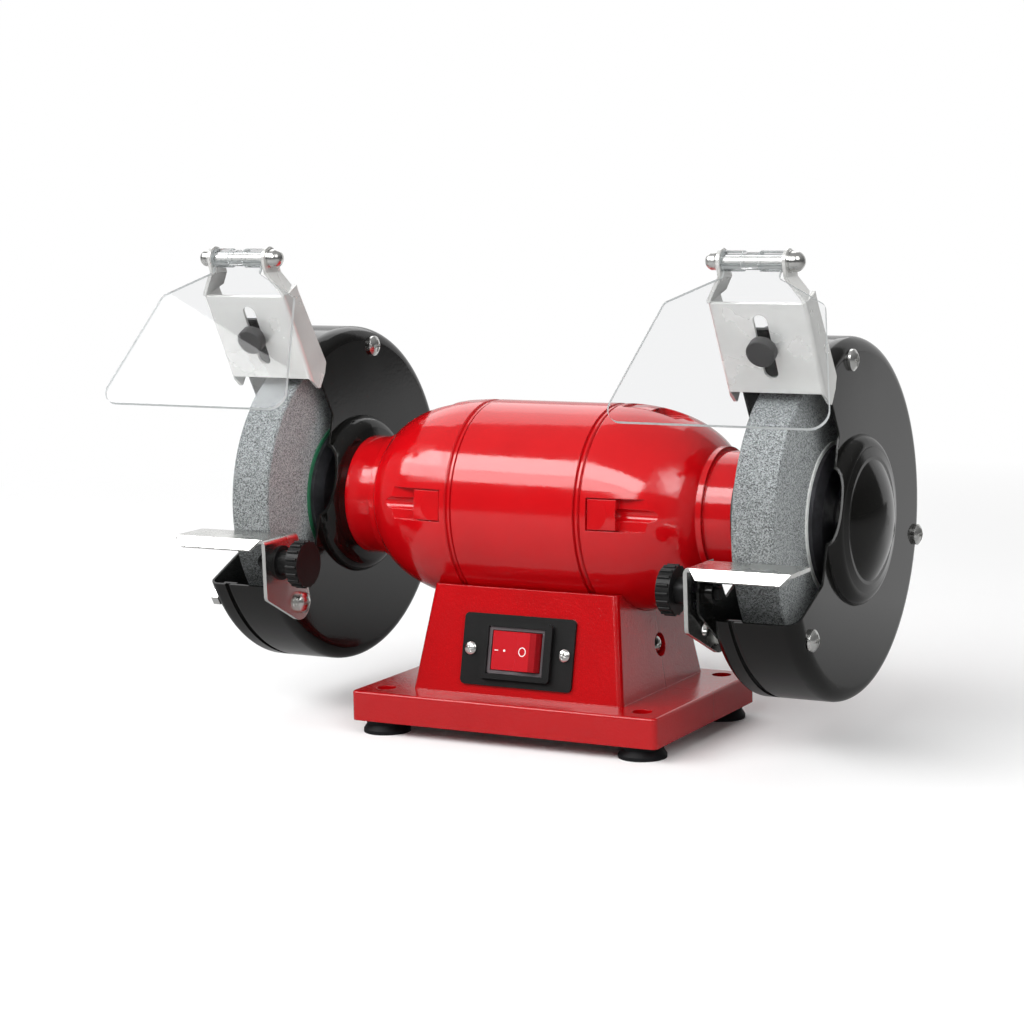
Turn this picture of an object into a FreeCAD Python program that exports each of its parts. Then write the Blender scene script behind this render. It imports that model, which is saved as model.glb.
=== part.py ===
# Double-ended bench grinder: motor on a cast pedestal, a wheel in a sheet-steel guard at each
# end of the shaft, a tool rest and a clear eye shield in front of each wheel.
#
# Frame: +X along the shaft, -Y is the front (switch side), +Z up. The origin is the middle of
# the four bolt holes of the base, on the bench top. Lengths are in millimetres.
# Outlines of the guards, rests and shields are (y, z) pairs measured from the shaft axis.
import FreeCAD, Part
import math
import os
from FreeCAD import Vector

# ---- Driving dimensions ---------------------------------------------------------------

# Shaft axis
SHAFT_Z = 113.0
SHAFT_Y = 8.0

# Base plate and feet
BASE_LENGTH = 170.4
BASE_FRONT = 60.8
BASE_BACK = 59.1
BASE_CORNER = 3.0
BASE_EDGE = 1.2
PLATE_THICK = 15.1
HOLE_SPACING_X = 144.0
HOLE_SPACING_Y = 95.2
HOLE_R = 5.0
FOOT_HEIGHT = 7.1
FOOT_R = 12.0
FOOT_NECK_R = 10.3
FOOT_TOP_R = 11.2
FOOT_FLANGE = 1.8
SPIGOT_R = 7.0
SPIGOT_LENGTH = 5.0

# Pedestal
PEDESTAL_TOP_Z = 74.8
PEDESTAL_HALF_FOOT = 59.0
PEDESTAL_HALF_TOP = 51.6
PEDESTAL_FRONT_FOOT = 51.5
PEDESTAL_FRONT_TOP = 39.5
PEDESTAL_BACK_FOOT = 45.0
PEDESTAL_BACK_TOP = 34.5
PEDESTAL_EDGE = 3.0
PEDESTAL_WALL = 4.0
CRADLE_THICK = 4.5
COVER_THICK = 1.5
COVER_LAP = 6.0
COVER_CORNER = 3.0
COVER_SCREW_R = 1.5
COVER_SCREW_HEAD_R = 3.0
COVER_SCREW_HEAD = 1.6
COVER_SCREW_LENGTH = 8.0
SIDE_RECESS_R = 6.0
SIDE_RECESS_DEPTH = 2.5
SIDE_SCREW_Z = 44.0
SIDE_SCREW_HEAD_R = 4.2
SIDE_SCREW_R = 2.0
SIDE_SCREW_LENGTH = 8.0

# Motor housing
BODY_R = 52.2
SHELL_HALF = 37.6
BAND_HALF = 34.0
BAND_STEP = 0.5
SHELL_WALL = 4.2
BELL_LENGTH = 53.2
BELL_REACH = 57.0
BELL_CENTRE_R = 22.0
BELL_CURVE_POINTS = 9
BELL_WALL = 3.5
STEP_LENGTH = 3.0
STEP_DROP = 2.0
MOTOR_NECK = 15.6
JOINT_GROOVE = 0.6
SHELL_LUG_WIDTH = 12.0
SHELL_LUG_INSET = 5.0
SHELL_LUG_GAP = 3.0
BEARING_WALL = 2.0
PAD_INSET = 4.0

# Screw pockets of the end bells
POCKET_ANGLES = (4.0, 90.0, 176.0, 270.0)
POCKET_WIDTH = 16.0
POCKET_START = 41.0
POCKET_DEPTH = 6.2
BLOCK_START = 41.6
BLOCK_END = 56.5
BLOCK_WIDTH = 15.0
BLOCK_DROP = 1.0
BELL_SCREW_R = 2.0
BELL_SCREW_HEAD_R = 3.0
BELL_SCREW_HEAD = 2.4
BELL_SCREW_INSET = 5.0
BELL_SCREW_SINK = 4.0
BELL_SCREW_DEPTH = 8.0

# Motor inside
STACK_HALF = 22.0
STATOR_BORE_R = 27.0
AIR_GAP = 0.4
ROTOR_REACH = 4.0
SLOT_COUNT = 12
SLOT_DEPTH = 12.0
SLOT_WIDTH = 6.5
SLOT_MOUTH = 2.5
SLOT_LIP = 2.5
COIL_REACH = 15.0
COIL_LEAD = 2.0
COIL_SWELL = 0.5
SHAFT_CORE_R = 9.0
BEARING_BORE_R = 7.5
BEARING_R = 17.5
BEARING_WIDTH = 11.0
BEARING_COVER = 2.4
RACE_THICK = 2.6
BALL_R = 2.3
BALL_COUNT = 8
WAVE_THICK = 1.0
WAVE_WIDTH = 3.0
CAPACITOR_R = 12.0
CAPACITOR_LENGTH = 44.0
CAPACITOR_BACK = 15.0
CAPACITOR_SEAT = 0.3

# Wheel stack
WHEEL_R = 75.0
WHEEL_WIDTH = 22.0
WHEEL_IN_GUARD = 20.7
WHEEL_EDGE = 0.8
SPINDLE_R = 6.35
BLOTTER_THICK = 0.8
BLOTTER_R = 38.0
FLANGE_R = 36.0
FLANGE_THICK = 5.2
FLANGE_RELIEF = 1.2
FLANGE_RIM = 8.0
FLANGE_BACK = 4.6
FLANGE_EDGE = 2.0
FLANGE_SLOPE = 6.0
FLANGE_SHOULDER_R = 16.0
FLANGE_HUB_R = 14.0
INNER_HUB_LENGTH = 5.7
NUT_FLATS = 19.0
NUT_HEIGHT = 8.0
SPINDLE_PAST = 28.0
SPINDLE_CHAMFER = 1.0

# Guards
GUARD_R = 88.4
GUARD_SHEET = 1.2
GUARD_STAND = 8.9
GUARD_DEPTH = 44.4
SHALLOW_DEPTH = 9.9
SEAM_GAP = 2.8
DEEP_CORNER = 7.5
SHALLOW_CORNER = 4.5
LIP_LENGTH = 6.3
LIP_CLEAR = 0.15
LIP_ROOT = 1.6
LIP_STEP = 0.3
BOSS_FOOT_R = 41.6
BOSS_SHOULDER_R = 35.2
BOSS_TOP_R = 31.0
BOSS_HOLE_R = 16.0
DOME_R = 29.2
BOSS_HEIGHT = 6.6
BOSS_SHOULDER_DROP = 0.9
BOSS_BULGE = 1.1
DOME_HEIGHT = 8.0
OPENING_TOP = (-25.0, 44.0)
OPENING_TOP_SLOPE = 120.0
OPENING_INNER = (-46.5, -24.4)
OPENING_LIP = (-77.5, -38.0)
OPENING_CORNER = 4.0

# Guard fasteners: distances from the shaft axis, and angles from the back upwards
TOP_BOLT_AT = 78.6
REAR_BOLT_AT = 81.1
RIGHT_EYE_AT = 78.6
LEFT_EYE_AT = 82.6
RIGHT_TOP_ANGLE = 97.0
LEFT_TOP_ANGLE = 78.5
REAR_ANGLE = -13.1
RIGHT_EYE_ANGLE = 217.6
LEFT_EYE_ANGLE = 215.1
BOLT_R = 2.5
MOUNT_SCREW_R = 2.0
MOUNT_SCREW_HEAD_R = 4.0
MOUNT_SCREW_HEAD = 2.6
MOUNT_SCREW_DEPTH = 8.0
BOLT_HEAD_R = 5.3
BOLT_HEAD = 3.6
BOLT_NUT_FLATS = 8.0
BOLT_NUT = 4.0
BOLT_END = 1.0
MOUNT_SCREW_AT = 23.5
MOUNT_SCREW_TURN = 30.0
MOUNT_SCREW_COUNT = 3

# Tool rests
REST_SHEET = 2.0
REST_STAND = 3.8
REST_PAST = 5.3
REST_TOP = -11.0
REST_FRONT = -99.0
REST_BEND = 3.0
REST_LEG_FOOT = (-98.0, -41.5)
REST_LEG_BACK = (-69.0, -11.0)
REST_EYE_R = 9.0
REST_LEG_CORNER = 3.0
WHEEL_GAP = 1.8
REST_LIP_DROP = 5.0
REST_LIP_OUT = 3.0
REST_LIP_CHAMFER = 4.5
REST_SIGHT_HOLE = (-80.0, -43.0)
REST_SIGHT_R = 2.8
REST_TOWARDS = 1.0
REST_AWAY = 8.0
KNOB_AXIS = (-84.0, -24.5)
KNOB_BOLT_R = 3.0
KNOB_SLOT_CLEAR = 0.3
KNOB_SLOT_STEPS = 8
KNOB_HUB_R = 6.5
KNOB_WASHER_R = 8.7
KNOB_HUB = 9.0
KNOB_HEAD_R = 12.2
KNOB_HEAD = 7.0
KNOB_RIBS = 18
KNOB_RIB_R = 0.9
KNOB_EDGE = 0.6
KNOB_BOLT_PAST = 8.7
WASHER_THICK = 1.0
WASHER_R = 5.5
TAB_R = 8.5
TAB_SHOULDER_R = 3.0
TAB_ROOT_STEP = (28.0, -13.5)
TAB_HEEL_STEP = (18.0, -27.5)
TAB_NUT_R = 5.5
TAB_NUT = 5.0

# Shield brackets
BRACKET_SHIFT = 1.5
BRACKET_HALF = 24.5
BRACKET_SHEET = 1.6
PLATE_TOP = (-71.4, 108.2)
PLATE_BOTTOM = (-49.0, 65.1)
FLANGE_TOP_DROP = 3.0
FLANGE_TOP_DEPTH = 12.5
FLANGE_FOOT_DEPTH = 16.5
FLANGE_TIP = 9.0
FLANGE_TIP_DEPTH = 4.3
FLANGE_TIP_CORNER = 1.5
FLANGE_CORNER = 2.0
BRACKET_BEND = 2.0
SLOT_TOP = 9.5
SLOT_BOTTOM = 37.0
SLOT_R = 3.5
CLAMP_AT = 22.7
PIVOT = (-72.5, 128.0)
EAR_R = 6.0
EAR_GAP_HALF = 15.5
EAR_BEND_LOW = 109.5
EAR_BEND_HIGH = 121.0
EAR_BEND_THIN = 0.6
THUMB_HEAD_R = 7.0
THUMB_HEAD = 5.5
THUMB_EDGE = 0.8
THUMB_NECK_R = 4.6
THUMB_NECK = 2.2
THUMB_BOLT_R = 3.0
THUMB_BOLT = 13.0
LUG_SHEET = 2.0
LUG_HALF = 8.0
LUG_TOP = 15.0
LUG_BOTTOM = 40.0
LUG_CLEAR = 0.3
LUG_NUT_R = 5.5
LUG_NUT = 5.0
LUG_FOOT_ANGLE = 12.0
LUG_WELD = 0.4

# Eye shields
PANE_THICK = 2.0
PANE_TILT = 35.3
NECK_HALF = 14.0
NECK_LENGTH = 9.2
COLLAR_HALF = 20.7
COLLAR_AT = 12.7
SHOULDER_HALF = 39.5
SHOULDER_AT = 23.0
PANE_HALF = 55.7
PANE_LENGTH = 86.0
PANE_NECK_CORNER = 1.5
PANE_COLLAR_CORNER = 2.0
PANE_SHOULDER_CORNER = 4.0
PANE_FOOT_CORNER = 8.0
BARREL_R = 5.0
BARREL_WAIST_R = 4.25
BARREL_CLEAR = 0.3
WAIST_LEFT = -5.3
WAIST_RIGHT = 3.2
PIVOT_BOLT_R = 2.5
PIVOT_REACH = 24.5
PIVOT_HEAD_R = 4.7
PIVOT_WASHER_R = 5.2
CAP_NUT_R = 4.2
CAP_NUT_THREAD = 3.0

# Switch in the pedestal's front face; heights are measured up the slope from its foot
SWITCH_MID = 22.8
FACE_PLATE_W = 62.5
FACE_PLATE_H = 36.0
FACE_PLATE_T = 1.5
FACE_PLATE_CORNER = 2.5
PLATE_SCREW_X = 26.3
PLATE_SCREW_R = 1.6
PLATE_SCREW_HEAD_R = 3.2
PLATE_SCREW_HEAD = 1.9
PLATE_SCREW_LENGTH = 9.0
PLATE_SCREW_TURN = 20.0
BEZEL_W = 39.5
BEZEL_H = 29.0
BEZEL_T = 2.6
BEZEL_CORNER = 2.0
FRAME_W = 31.4
FRAME_H = 23.4
FRAME_RIM = 0.7
FRAME_T = 1.4
FRAME_CORNER = 1.0
SWITCH_BODY_DEPTH = 22.0
ROCKER_W = 27.4
ROCKER_H = 19.4
ROCKER_CLEAR = 0.4
ROCKER_PIVOT_DEPTH = 3.0
ROCKER_SWING = 12.0
ROCKER_CROWN = 0.6
ROCKER_DEPTH = 5.0
ROCKER_PIN_R = 1.2
ROCKER_PIN_REACH = 1.0
SWITCH_WELL = 8.0

# Cross recess of a screw head, as shares of the head's radius and height
CROSS_REACH = 0.58
CROSS_WIDTH = 0.13
CROSS_DEPTH = 0.45

# Fits, and how far a cutting tool runs past the face it cuts
RUNNING = 0.05
SEAT = 0.1
SCREW_CLEAR = 0.2
OVERRUN = 1.0

# ---- Derived places -------------------------------------------------------------------

BASE_TOP_Z = FOOT_HEIGHT + PLATE_THICK
BELL_END = SHELL_HALF + BELL_LENGTH
STEP_END = BELL_END + STEP_LENGTH
NECK_END = STEP_END + MOTOR_NECK
BEARING_OUT = NECK_END - BEARING_COVER
GUARD_INNER_X = NECK_END + GUARD_STAND
GUARD_OUTER_X = GUARD_INNER_X + GUARD_DEPTH
WHEEL_MID = GUARD_INNER_X + WHEEL_IN_GUARD
BRACKET_MID = WHEEL_MID + BRACKET_SHIFT
SPINDLE_END = WHEEL_MID + SPINDLE_PAST
REST_LEG_X = GUARD_INNER_X - REST_STAND
REST_END_X = GUARD_OUTER_X + REST_PAST
KNOB_HUB_END = REST_LEG_X - KNOB_HUB
KNOB_HEAD_END = KNOB_HUB_END - KNOB_HEAD
KNOB_BOLT_END = GUARD_INNER_X + KNOB_BOLT_PAST
POCKET_FLOOR_R = BODY_R - POCKET_DEPTH
BLOCK_TOP_R = BODY_R - BLOCK_DROP
BELL_SCREW_AXIS_R = BODY_R - BELL_SCREW_INSET
BELL_SCREW_SEAT = BLOCK_END - BELL_SCREW_SINK
TAB_ROOT = (KNOB_AXIS[0] + TAB_ROOT_STEP[0], KNOB_AXIS[1] + TAB_ROOT_STEP[1])
TAB_HEEL = (KNOB_AXIS[0] + TAB_HEEL_STEP[0], KNOB_AXIS[1] + TAB_HEEL_STEP[1])
RIGHT_BOLTS = (
    (TOP_BOLT_AT, RIGHT_TOP_ANGLE),
    (REAR_BOLT_AT, REAR_ANGLE),
    (RIGHT_EYE_AT, RIGHT_EYE_ANGLE),
)
LEFT_BOLTS = (
    (TOP_BOLT_AT, LEFT_TOP_ANGLE),
    (REAR_BOLT_AT, REAR_ANGLE),
    (LEFT_EYE_AT, LEFT_EYE_ANGLE),
)
PLATE_LENGTH = math.dist(PLATE_TOP, PLATE_BOTTOM)
DOWN_PLATE = (
    (PLATE_BOTTOM[0] - PLATE_TOP[0]) / PLATE_LENGTH,
    (PLATE_BOTTOM[1] - PLATE_TOP[1]) / PLATE_LENGTH,
)
BEHIND_PLATE = (-DOWN_PLATE[1], DOWN_PLATE[0])
WHEEL_IN = WHEEL_MID - WHEEL_WIDTH / 2
WHEEL_OUT = WHEEL_MID + WHEEL_WIDTH / 2
INNER_FLANGE_HUB = WHEEL_IN - BLOTTER_THICK - INNER_HUB_LENGTH
X_AXIS = Vector(1, 0, 0)


# ---- Helpers --------------------------------------------------------------------------

def at_shaft(x, y, z):
    """Point at x along the shaft and (y, z) from its axis."""
    return Vector(x, SHAFT_Y + y, SHAFT_Z + z)


def polar(radius, degrees):
    """(y, z) from the shaft axis at an angle from the back upwards."""
    turn = math.radians(degrees)
    return radius * math.cos(turn), radius * math.sin(turn)


def face_of(points):
    """Flat face inside a closed polygon."""
    return Part.Face(Part.makePolygon(points + points[:1]))


def rounded_wire(corners, place):
    """Closed wire through corners (u, v, radius), each laid in space by place(u, v)."""
    edges = []
    starts = []
    count = len(corners)
    for i, (u, v, radius) in enumerate(corners):
        before = corners[i - 1]
        after = corners[(i + 1) % count]
        corner = Vector(u, v, 0)
        to_before = (Vector(before[0], before[1], 0) - corner).normalize()
        to_after = (Vector(after[0], after[1], 0) - corner).normalize()
        if radius == 0:
            starts.append((corner, corner))
            continue
        half = to_before.getAngle(to_after) / 2
        leg = radius / math.tan(half)
        middle = (to_before + to_after).normalize()
        centre = corner + middle * (radius / math.sin(half))
        first = corner + to_before * leg
        last = corner + to_after * leg
        top = centre - middle * radius
        edges.append(Part.Arc(*(place(p.x, p.y) for p in (first, top, last))).toShape())
        starts.append((first, last))
    for i in range(count):
        a = starts[i][1]
        b = starts[(i + 1) % count][0]
        if (a - b).Length > 1e-6:
            edges.append(Part.LineSegment(place(a.x, a.y), place(b.x, b.y)).toShape())
    return Part.Wire(Part.__sortEdges__(edges))


def slab_yz(corners, x0, x1):
    """Plate between x0 and x1 with a rounded (y, z, radius) outline about the shaft axis."""
    wire = rounded_wire(corners, lambda y, z: at_shaft(x0, y, z))
    return Part.Face(wire).extrude(Vector(x1 - x0, 0, 0))


def turned(profile):
    """Solid turned about the shaft axis. A profile holds (x, r) points; a triple
    ("arc", (x, r), (x, r)) bends through its first point to its second, and
    ("curve", (x, r), ...) runs smoothly through all of its points."""
    edges = []
    here = None
    first = None
    for item in profile + [profile[0]]:
        if item[0] == "arc":
            through, end = (at_shaft(x, 0, r) for x, r in item[1:])
            edges.append(Part.Arc(here, through, end).toShape())
        elif item[0] == "curve":
            points = [at_shaft(x, 0, r) for x, r in item[1:]]
            curve = Part.BSplineCurve()
            curve.interpolate([here] + points)
            edges.append(curve.toShape())
            end = points[-1]
        else:
            end = at_shaft(item[0], 0, item[1])
            if here is not None and (end - here).Length > 1e-6:
                edges.append(Part.LineSegment(here, end).toShape())
        here = end
        first = first or end
    return Part.Face(Part.Wire(edges)).revolve(at_shaft(0, 0, 0), X_AXIS, 360)


def ring(x0, x1, r_in, r_out):
    """Plain ring about the shaft axis; r_in of 0 gives a disc."""
    low, high = min(x0, x1), max(x0, x1)
    outer = Part.makeCylinder(r_out, high - low, at_shaft(low, 0, 0), X_AXIS)
    if r_in == 0:
        return outer
    return outer.cut(Part.makeCylinder(r_in, high - low, at_shaft(low, 0, 0), X_AXIS))


def rod(x0, x1, y, z, radius):
    """Cylinder along X at (y, z) from the shaft axis."""
    low, high = min(x0, x1), max(x0, x1)
    return Part.makeCylinder(radius, high - low, at_shaft(low, y, z), X_AXIS)


def hexagon(x0, x1, y, z, flats):
    """Hexagonal prism along X at (y, z) from the shaft axis, across-flats width given."""
    reach = flats / math.sqrt(3)
    turns = [math.radians(60 * i) for i in range(6)]
    points = [at_shaft(x0, y + reach * math.cos(t), z + reach * math.sin(t)) for t in turns]
    return face_of(points).extrude(Vector(x1 - x0, 0, 0))


def domed_head(base, direction, radius, height):
    """Pan head standing on its base point, a short cylinder under a shallow dome."""
    rise = min(height * 0.6, radius * 0.75)
    sphere_r = (radius ** 2 + rise ** 2) / (2 * rise)
    barrel = Part.makeCylinder(radius, height, base, direction)
    centre = base + direction * (height - sphere_r)
    return barrel.common(Part.makeSphere(sphere_r, centre))


def crossed_head(base, direction, radius, height, turn=0.0):
    """Pan head with a cross recess in its top, turned by an angle in degrees."""
    across = Vector(0, 0, 1) if abs(direction.z) < 0.9 else Vector(0, 1, 0)
    side = direction.cross(across).normalize()
    across = side.cross(direction)
    reach = radius * CROSS_REACH
    half = radius * CROSS_WIDTH
    floor = base + direction * (height * (1 - CROSS_DEPTH))
    slots = []
    for u, v in ((reach, half), (half, reach)):
        corners = [(-u, -v), (u, -v), (u, v), (-u, v)]
        points = [floor + side * a + across * b for a, b in corners]
        slot = face_of(points).extrude(direction * height)
        slot.rotate(base, direction, turn)
        slots.append(slot)
    return domed_head(base, direction, radius, height).cut(slots)


def mirrored(shape):
    """The same shape on the other end of the shaft."""
    return shape.mirror(Vector(0, 0, 0), X_AXIS)


def fused(shapes):
    """One solid made of overlapping shapes."""
    whole = shapes[0].multiFuse(shapes[1:]) if len(shapes) > 1 else shapes[0]
    return whole.removeSplitter()


def group(shapes):
    """Separate solids kept in one node."""
    return Part.makeCompound([solid for shape in shapes for solid in shape.Solids])


def tangent_point(point, centre, radius, side):
    """Where the line from a point touches a circle; side is +1 or -1."""
    dy = point[0] - centre[0]
    dz = point[1] - centre[1]
    reach = math.hypot(dy, dz)
    turn = math.atan2(dz, dy) + side * math.acos(radius / reach)
    return centre[0] + radius * math.cos(turn), centre[1] + radius * math.sin(turn)


# ---- Base -----------------------------------------------------------------------------

def hole_centres():
    return [
        (sx * HOLE_SPACING_X / 2, sy * HOLE_SPACING_Y / 2) for sx in (-1, 1) for sy in (-1, 1)
    ]


def wedge(z0, z1, inset=0.0):
    """The pedestal's tapered block between two heights, shrunk on all sides by inset."""
    sections = []
    for z in (z0, z1):
        share = (z - BASE_TOP_Z) / (PEDESTAL_TOP_Z - BASE_TOP_Z)
        half = PEDESTAL_HALF_FOOT + share * (PEDESTAL_HALF_TOP - PEDESTAL_HALF_FOOT) - inset
        front = PEDESTAL_FRONT_FOOT + share * (PEDESTAL_FRONT_TOP - PEDESTAL_FRONT_FOOT) - inset
        back = PEDESTAL_BACK_FOOT + share * (PEDESTAL_BACK_TOP - PEDESTAL_BACK_FOOT) - inset
        radius = PEDESTAL_EDGE
        corners = [
            (-half, -front, radius),
            (half, -front, radius),
            (half, back, radius),
            (-half, back, radius),
        ]
        sections.append(rounded_wire(corners, lambda x, y: Vector(x, SHAFT_Y + y, z)))
    return Part.makeLoft(sections, True, True)


def bell_radius(x):
    """Outer radius of the end bell at a distance x from the middle of the motor."""
    rise = BODY_R - BELL_CENTRE_R
    return BELL_CENTRE_R + rise * math.sqrt(1 - ((x - SHELL_HALF) / BELL_REACH) ** 2)


def bell_curve(x0, x1, gap):
    """Smooth run of the bell's profile between two distances, grown by a gap. Its points
    crowd towards the far end, where the profile falls fastest."""
    points = []
    for i in range(1, BELL_CURVE_POINTS + 1):
        share = math.sin(math.pi / 2 * i / BELL_CURVE_POINTS)
        x = x0 + share * (x1 - x0)
        points.append((x, bell_radius(x) + gap))
    return ("curve", *points)


def bell_envelope(gap):
    """Full outside form of the motor housing, grown by a gap."""
    inner_half = ring(-SHELL_HALF, SHELL_HALF, 0, BODY_R + gap)
    side = turned(bell_outline(gap))
    return fused([inner_half, side, mirrored(side)])


def bell_outline(gap):
    return [
        (SHELL_HALF, 0),
        (SHELL_HALF, BODY_R + gap),
        bell_curve(SHELL_HALF, BELL_END, gap),
        (BELL_END, 0),
    ]


def side_screw_face_x():
    share = (SIDE_SCREW_Z - BASE_TOP_Z) / (PEDESTAL_TOP_Z - BASE_TOP_Z)
    return PEDESTAL_HALF_FOOT + share * (PEDESTAL_HALF_TOP - PEDESTAL_HALF_FOOT)


def base_pedestal():
    half = BASE_LENGTH / 2
    corners = [
        (-half, -BASE_FRONT, BASE_CORNER),
        (half, -BASE_FRONT, BASE_CORNER),
        (half, BASE_BACK, BASE_CORNER),
        (-half, BASE_BACK, BASE_CORNER),
    ]
    wire = rounded_wire(corners, lambda x, y: Vector(x, y, FOOT_HEIGHT))
    plate = Part.Face(wire).extrude(Vector(0, 0, PLATE_THICK))
    top_edges = [e for e in plate.Edges if e.BoundBox.ZMin > BASE_TOP_Z - 0.01]
    plate = plate.makeFillet(BASE_EDGE, top_edges)
    casting = fused([plate, wedge(BASE_TOP_Z - OVERRUN, PEDESTAL_TOP_Z)])
    casting = casting.cut(bell_envelope(SEAT))
    void_top = SHAFT_Z - BODY_R - CRADLE_THICK
    casting = casting.cut(wedge(FOOT_HEIGHT - OVERRUN, void_top, PEDESTAL_WALL))
    casting = casting.cut(cover_plate(SCREW_CLEAR))
    for x, y in hole_centres():
        casting = casting.cut(Part.makeCylinder(HOLE_R, PLATE_THICK, Vector(x, y, FOOT_HEIGHT)))
        spigot = Part.makeCylinder(SPIGOT_R, SPIGOT_LENGTH, Vector(x, y, FOOT_HEIGHT))
        casting = casting.cut(spigot)
    for x, y in cover_screw_places():
        seat = Vector(x, y, FOOT_HEIGHT)
        casting = casting.cut(Part.makeCylinder(COVER_SCREW_R, COVER_SCREW_LENGTH, seat))
    face_x = side_screw_face_x()
    for side in (-1, 1):
        start = Vector(side * (face_x - SIDE_RECESS_DEPTH), SHAFT_Y, SIDE_SCREW_Z)
        out = Vector(side, 0, 0)
        casting = casting.cut(Part.makeCylinder(SIDE_RECESS_R, 2 * SIDE_RECESS_DEPTH, start, out))
        hole = Part.makeCylinder(SIDE_SCREW_R + SEAT, PEDESTAL_WALL + OVERRUN, start, -out)
        casting = casting.cut(hole)
    casting = casting.cut(case_opening(-SWITCH_BODY_DEPTH, OVERRUN))
    for x in (-PLATE_SCREW_X, PLATE_SCREW_X):
        start = on_slope(x, SWITCH_MID, OVERRUN)
        hole = Part.makeCylinder(PLATE_SCREW_R, PLATE_SCREW_LENGTH + OVERRUN, start, slope_out() * -1)
        casting = casting.cut(hole)
    return casting


def cover_plate(gap):
    """Sheet under the pedestal's hollow, let into the casting's underside."""
    half = PEDESTAL_HALF_FOOT - PEDESTAL_WALL + COVER_LAP + gap
    front = SHAFT_Y - PEDESTAL_FRONT_FOOT + PEDESTAL_WALL - COVER_LAP - gap
    back = SHAFT_Y + PEDESTAL_BACK_FOOT - PEDESTAL_WALL + COVER_LAP + gap
    corners = [
        (-half, front, COVER_CORNER),
        (half, front, COVER_CORNER),
        (half, back, COVER_CORNER),
        (-half, back, COVER_CORNER),
    ]
    wire = rounded_wire(corners, lambda x, y: Vector(x, y, FOOT_HEIGHT))
    return Part.Face(wire).extrude(Vector(0, 0, COVER_THICK + gap))


def cover_screw_places():
    half = PEDESTAL_HALF_FOOT - PEDESTAL_WALL + COVER_LAP / 2
    front = SHAFT_Y - PEDESTAL_FRONT_FOOT + PEDESTAL_WALL - COVER_LAP / 2
    back = SHAFT_Y + PEDESTAL_BACK_FOOT - PEDESTAL_WALL + COVER_LAP / 2
    return [(x, y) for x in (-half, half) for y in (front, back)]


def cover_screws():
    up = Vector(0, 0, 1)
    screws = []
    for x, y in cover_screw_places():
        seat = Vector(x, y, FOOT_HEIGHT)
        shank = Part.makeCylinder(COVER_SCREW_R, COVER_SCREW_LENGTH, seat, up)
        head = crossed_head(seat, up * -1, COVER_SCREW_HEAD_R, COVER_SCREW_HEAD)
        screws.append(fused([shank, head]))
    return group(screws)


def bottom_cover():
    plate = cover_plate(0)
    for x, y in cover_screw_places():
        seat = Vector(x, y, FOOT_HEIGHT - OVERRUN)
        hole = Part.makeCylinder(COVER_SCREW_R + SEAT, COVER_THICK + 2 * OVERRUN, seat)
        plate = plate.cut(hole)
    return plate


def rubber_feet():
    neck_z = FOOT_FLANGE + (FOOT_HEIGHT - FOOT_FLANGE) / 2
    profile = [
        (HOLE_R, 0),
        (FOOT_R, 0),
        (FOOT_R, FOOT_FLANGE),
        (FOOT_NECK_R, neck_z),
        (FOOT_TOP_R, FOOT_HEIGHT),
        (SPIGOT_R, FOOT_HEIGHT),
        (SPIGOT_R, FOOT_HEIGHT + SPIGOT_LENGTH),
        (HOLE_R, FOOT_HEIGHT + SPIGOT_LENGTH),
    ]
    feet = []
    for x, y in hole_centres():
        foot = face_of([Vector(x + r, y, z) for r, z in profile])
        feet.append(foot.revolve(Vector(x, y, 0), Vector(0, 0, 1), 360))
    return group(feet)


def pedestal_screws():
    screws = []
    for side in (-1, 1):
        out = Vector(side, 0, 0)
        seat = Vector(side * (side_screw_face_x() - SIDE_RECESS_DEPTH), SHAFT_Y, SIDE_SCREW_Z)
        shank = Part.makeCylinder(SIDE_SCREW_R, SIDE_SCREW_LENGTH, seat, -out)
        head = crossed_head(seat, out, SIDE_SCREW_HEAD_R, SIDE_RECESS_DEPTH)
        screws.append(fused([shank, head]))
    return group(screws)


# ---- Switch ---------------------------------------------------------------------------

def slope_up():
    rise = PEDESTAL_TOP_Z - BASE_TOP_Z
    return Vector(0, PEDESTAL_FRONT_FOOT - PEDESTAL_FRONT_TOP, rise).normalize()


def slope_out():
    up = slope_up()
    return Vector(0, -up.z, up.y)


def on_slope(x, up, out):
    """Point of the pedestal's front face: across, up the slope, and out of the face."""
    foot = Vector(0, SHAFT_Y - PEDESTAL_FRONT_FOOT, BASE_TOP_Z)
    return foot + Vector(x, 0, 0) + slope_up() * up + slope_out() * out


def switch_block(width, height, out0, out1, corner=0.0):
    """Block on the front face, centred on the switch, between two distances out of it."""
    w = width / 2
    h = height / 2
    corners = [(-w, -h, corner), (w, -h, corner), (w, h, corner), (-w, h, corner)]
    wire = rounded_wire(corners, lambda u, v: on_slope(u, SWITCH_MID + v, out0))
    return Part.Face(wire).extrude(slope_out() * (out1 - out0))


def case_opening(out0, out1):
    """Rectangular way through the front for the switch's case."""
    return switch_block(FRAME_W - 2 * FRAME_RIM, FRAME_H - 2 * FRAME_RIM, out0, out1)


def switch_plate():
    through = FACE_PLATE_T + OVERRUN
    plate = switch_block(FACE_PLATE_W, FACE_PLATE_H, 0, FACE_PLATE_T, FACE_PLATE_CORNER)
    plate = plate.cut(case_opening(-OVERRUN, through))
    for x in (-PLATE_SCREW_X, PLATE_SCREW_X):
        start = on_slope(x, SWITCH_MID, -OVERRUN)
        hole = Part.makeCylinder(PLATE_SCREW_R + SEAT, through + OVERRUN, start, slope_out())
        plate = plate.cut(hole)
    return plate


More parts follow.
